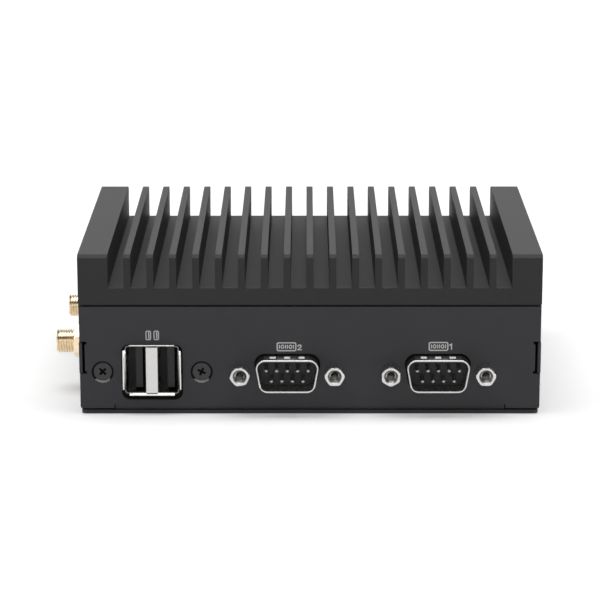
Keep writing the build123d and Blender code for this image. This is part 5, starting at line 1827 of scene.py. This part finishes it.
@dataclass
class Studio:
    """The camera, the pale floor and the light, all in metres.

    Attributes:
        lens: The camera's focal length in millimetres, on the sensor's width.
        sensor: That width in millimetres.
        clip_start: The nearest distance that the camera sees.
        camera_place: The camera's place.
        camera_turn: Its turn about x, y and z, in degrees.
        ambient: The strength of the world's light on the object.
        floor_size: The width of the floor.
        floor_tone: The floor's tone where it is seen.
        bounce_tone: Its tone for the light that it throws on the object.
        floor_roughness: Its roughness.
        floor_gap: How far it lies under the object.
        floor_glow: The strength of its glow near the object and far from it.
        glow_from: The distances between which the glow grows.
        lamp_aim: The point that every lamp faces.
        lamps: Each lamp's name, place, width and height, and power in watts.
    """

    lens: float = 155.26
    sensor: float = 36.0
    clip_start: float = 0.01
    camera_place: Point3 = (-0.00112, -0.70112, 0.20244)
    camera_turn: Point3 = (75.413, 0.04, 0.12)
    ambient: float = 0.10
    floor_size: float = 12.0
    floor_tone: float = 0.80
    bounce_tone: float = 0.42
    floor_roughness: float = 0.9
    floor_gap: float = 0.00005
    floor_glow: tuple[float, float] = (0.32, 0.95)
    glow_from: tuple[float, float] = (0.25, 1.4)
    lamp_aim: Point3 = (0.0, 0.0, 0.02)
    lamps: tuple[tuple[str, Point3, Point2, float], ...] = (
        ("overhead", (0.0, 0.0, 2.0), (2.4, 1.5), 45.0),
        ("front", (0.0, -1.6, 0.55), (1.4, 0.8), 5.0),
        ("rear", (0.0, 1.6, 0.55), (1.4, 0.8), 5.0),
        ("left", (-1.6, 0.0, 0.12), (0.9, 0.2), 5.0),
        ("right", (1.6, 0.0, 0.12), (0.9, 0.2), 5.0),
    )

    def build(self) -> None:
        """Sets up camera, world, floor and lamps."""
        scene = bpy.context.scene
        scene.view_settings.view_transform = "Standard"
        camera = bpy.data.objects.new("camera", bpy.data.cameras.new("camera"))
        camera.data.lens = self.lens
        camera.data.sensor_width = self.sensor
        camera.data.clip_start = self.clip_start
        camera.location = self.camera_place
        camera.rotation_euler = [math.radians(turn) for turn in self.camera_turn]
        scene.collection.objects.link(camera)
        scene.camera = camera
        self.set_world(scene)
        self.lay_floor(scene)
        for name, place, size, power in self.lamps:
            self.hang_lamp(scene, name, place, size, power)

    @staticmethod
    def seen(canvas: NodeCanvas) -> bpy.types.NodeSocket:
        """Tells what is seen from what only lights the object.

        Args:
            canvas: The node tree that asks.

        Returns:
            1 for the rays of the camera and of reflections and glass, else 0.
        """
        path = canvas.add("ShaderNodeLightPath").outputs
        mirrored = canvas.maths("MAXIMUM", path["Is Glossy Ray"], path["Is Transmission Ray"])
        return canvas.maths("MAXIMUM", path["Is Camera Ray"], mirrored)

    def set_world(self, scene: bpy.types.Scene) -> None:
        """Makes the world white where it is seen, and dim as light on the object.

        Args:
            scene: The scene.
        """
        world = bpy.data.worlds.new("studio")
        world.use_nodes = True
        canvas = NodeCanvas(world.node_tree)
        background = world.node_tree.nodes["Background"]
        canvas.feed(background.inputs["Strength"], canvas.spread(self.seen(canvas), self.ambient, 1.0))
        scene.world = world

    def lay_floor(self, scene: bpy.types.Scene) -> None:
        """Lays the floor under the object.

        Args:
            scene: The scene.
        """
        mesh = bmesh.new()
        bmesh.ops.create_grid(mesh, x_segments=1, y_segments=1, size=self.floor_size / 2)
        data = bpy.data.meshes.new("floor")
        mesh.to_mesh(data)
        mesh.free()
        data.materials.append(self.floor_material())
        data.transform(Matrix.Translation((0.0, 0.0, -self.floor_gap)))
        floor = bpy.data.objects.new("floor", data)
        scene.collection.objects.link(floor)

    def floor_material(self) -> bpy.types.Material:
        """Makes a floor that keeps the object's shadow.

        Returns:
            The material, white where it is lit and clear to the camera from below.
        """
        material = bpy.data.materials.new("pale_floor")
        material.use_nodes = True
        canvas = NodeCanvas(material.node_tree)
        shader = material.node_tree.nodes["Principled BSDF"]
        tones = [(tone, tone, tone, 1.0) for tone in (self.bounce_tone, self.floor_tone)]
        canvas.feed(shader.inputs["Base Color"], canvas.mixed(self.seen(canvas), *tones))
        shader.inputs["Roughness"].default_value = self.floor_roughness
        shader.inputs["Specular IOR Level"].default_value = 0.0
        shader.inputs["Emission Color"].default_value = (1.0, 1.0, 1.0, 1.0)
        reach = canvas.add("ShaderNodeVectorMath", operation="LENGTH")
        canvas.feed(reach.inputs[0], canvas.add("ShaderNodeTexCoord").outputs["Object"])
        glow = canvas.add(
            "ShaderNodeMapRange", Value=reach.outputs["Value"], From_Min=self.glow_from[0],
            From_Max=self.glow_from[1], To_Min=self.floor_glow[0], To_Max=self.floor_glow[1],
        ).outputs["Result"]
        canvas.feed(shader.inputs["Emission Strength"], canvas.maths("MULTIPLY", self.seen(canvas), glow))
        under = canvas.maths(
            "MULTIPLY", canvas.add("ShaderNodeNewGeometry").outputs["Backfacing"],
            canvas.add("ShaderNodeLightPath").outputs["Is Camera Ray"],
        )
        clear = canvas.add("ShaderNodeBsdfTransparent").outputs["BSDF"]
        seen_through = canvas.add("ShaderNodeMixShader")
        for socket, source in zip(seen_through.inputs, (under, shader.outputs["BSDF"], clear)):
            canvas.feed(socket, source)
        output = material.node_tree.nodes["Material Output"]
        canvas.feed(output.inputs["Surface"], seen_through.outputs["Shader"])
        return material

    def hang_lamp(self, scene: bpy.types.Scene, name: str, place: Point3, size: Point2, power: float) -> None:
        """Hangs a soft rectangular lamp that faces the object.

        Args:
            scene: The scene.
            name: The lamp's name.
            place: Its place.
            size: Its width and height.
            power: Its power in watts.
        """
        light = bpy.data.lights.new(name, "AREA")
        light.shape = "RECTANGLE"
        light.size, light.size_y = size
        light.energy = power
        lamp = bpy.data.objects.new(name, light)
        lamp.location = place
        lamp.rotation_euler = (Vector(self.lamp_aim) - Vector(place)).to_track_quat("-Z", "Y").to_euler()
        lamp.visible_camera = False
        scene.collection.objects.link(lamp)


def main() -> None:
    """Builds and dresses the computer, sub-assembly by sub-assembly."""
    logging.basicConfig(level=logging.INFO, format="%(name)s: %(message)s")
    dress_frame()
    FinnedCover().build()
    SheetCase().build()
    CrossScrews("post_screws", "bottom_screws", four_places(*POST_SCREWS)).build()
    CrossScrews("short_screws", "flange_screws", four_places(*FLANGE_SCREWS), length=3.5).build()
    CrossScrews("port_screws", "panel_screws", [
        Wall.FRONT.axis(x, AXIS_Z, PORT_SCREW_DEPTH, turn) for x, turn in zip(PORT_SCREWS, PORT_SCREW_TURNS)
    ], head_radius=2.45, head_height=0.85, shank_radius=1.25, length=6.0).build()
    JackScrews().build()
    SerialPorts().build()
    DataPort().build()
    AntennaJacks().build()
    RearSockets().build()
    PanelPrint().build()
    Studio().build()


if __name__ == "__main__":
    main()
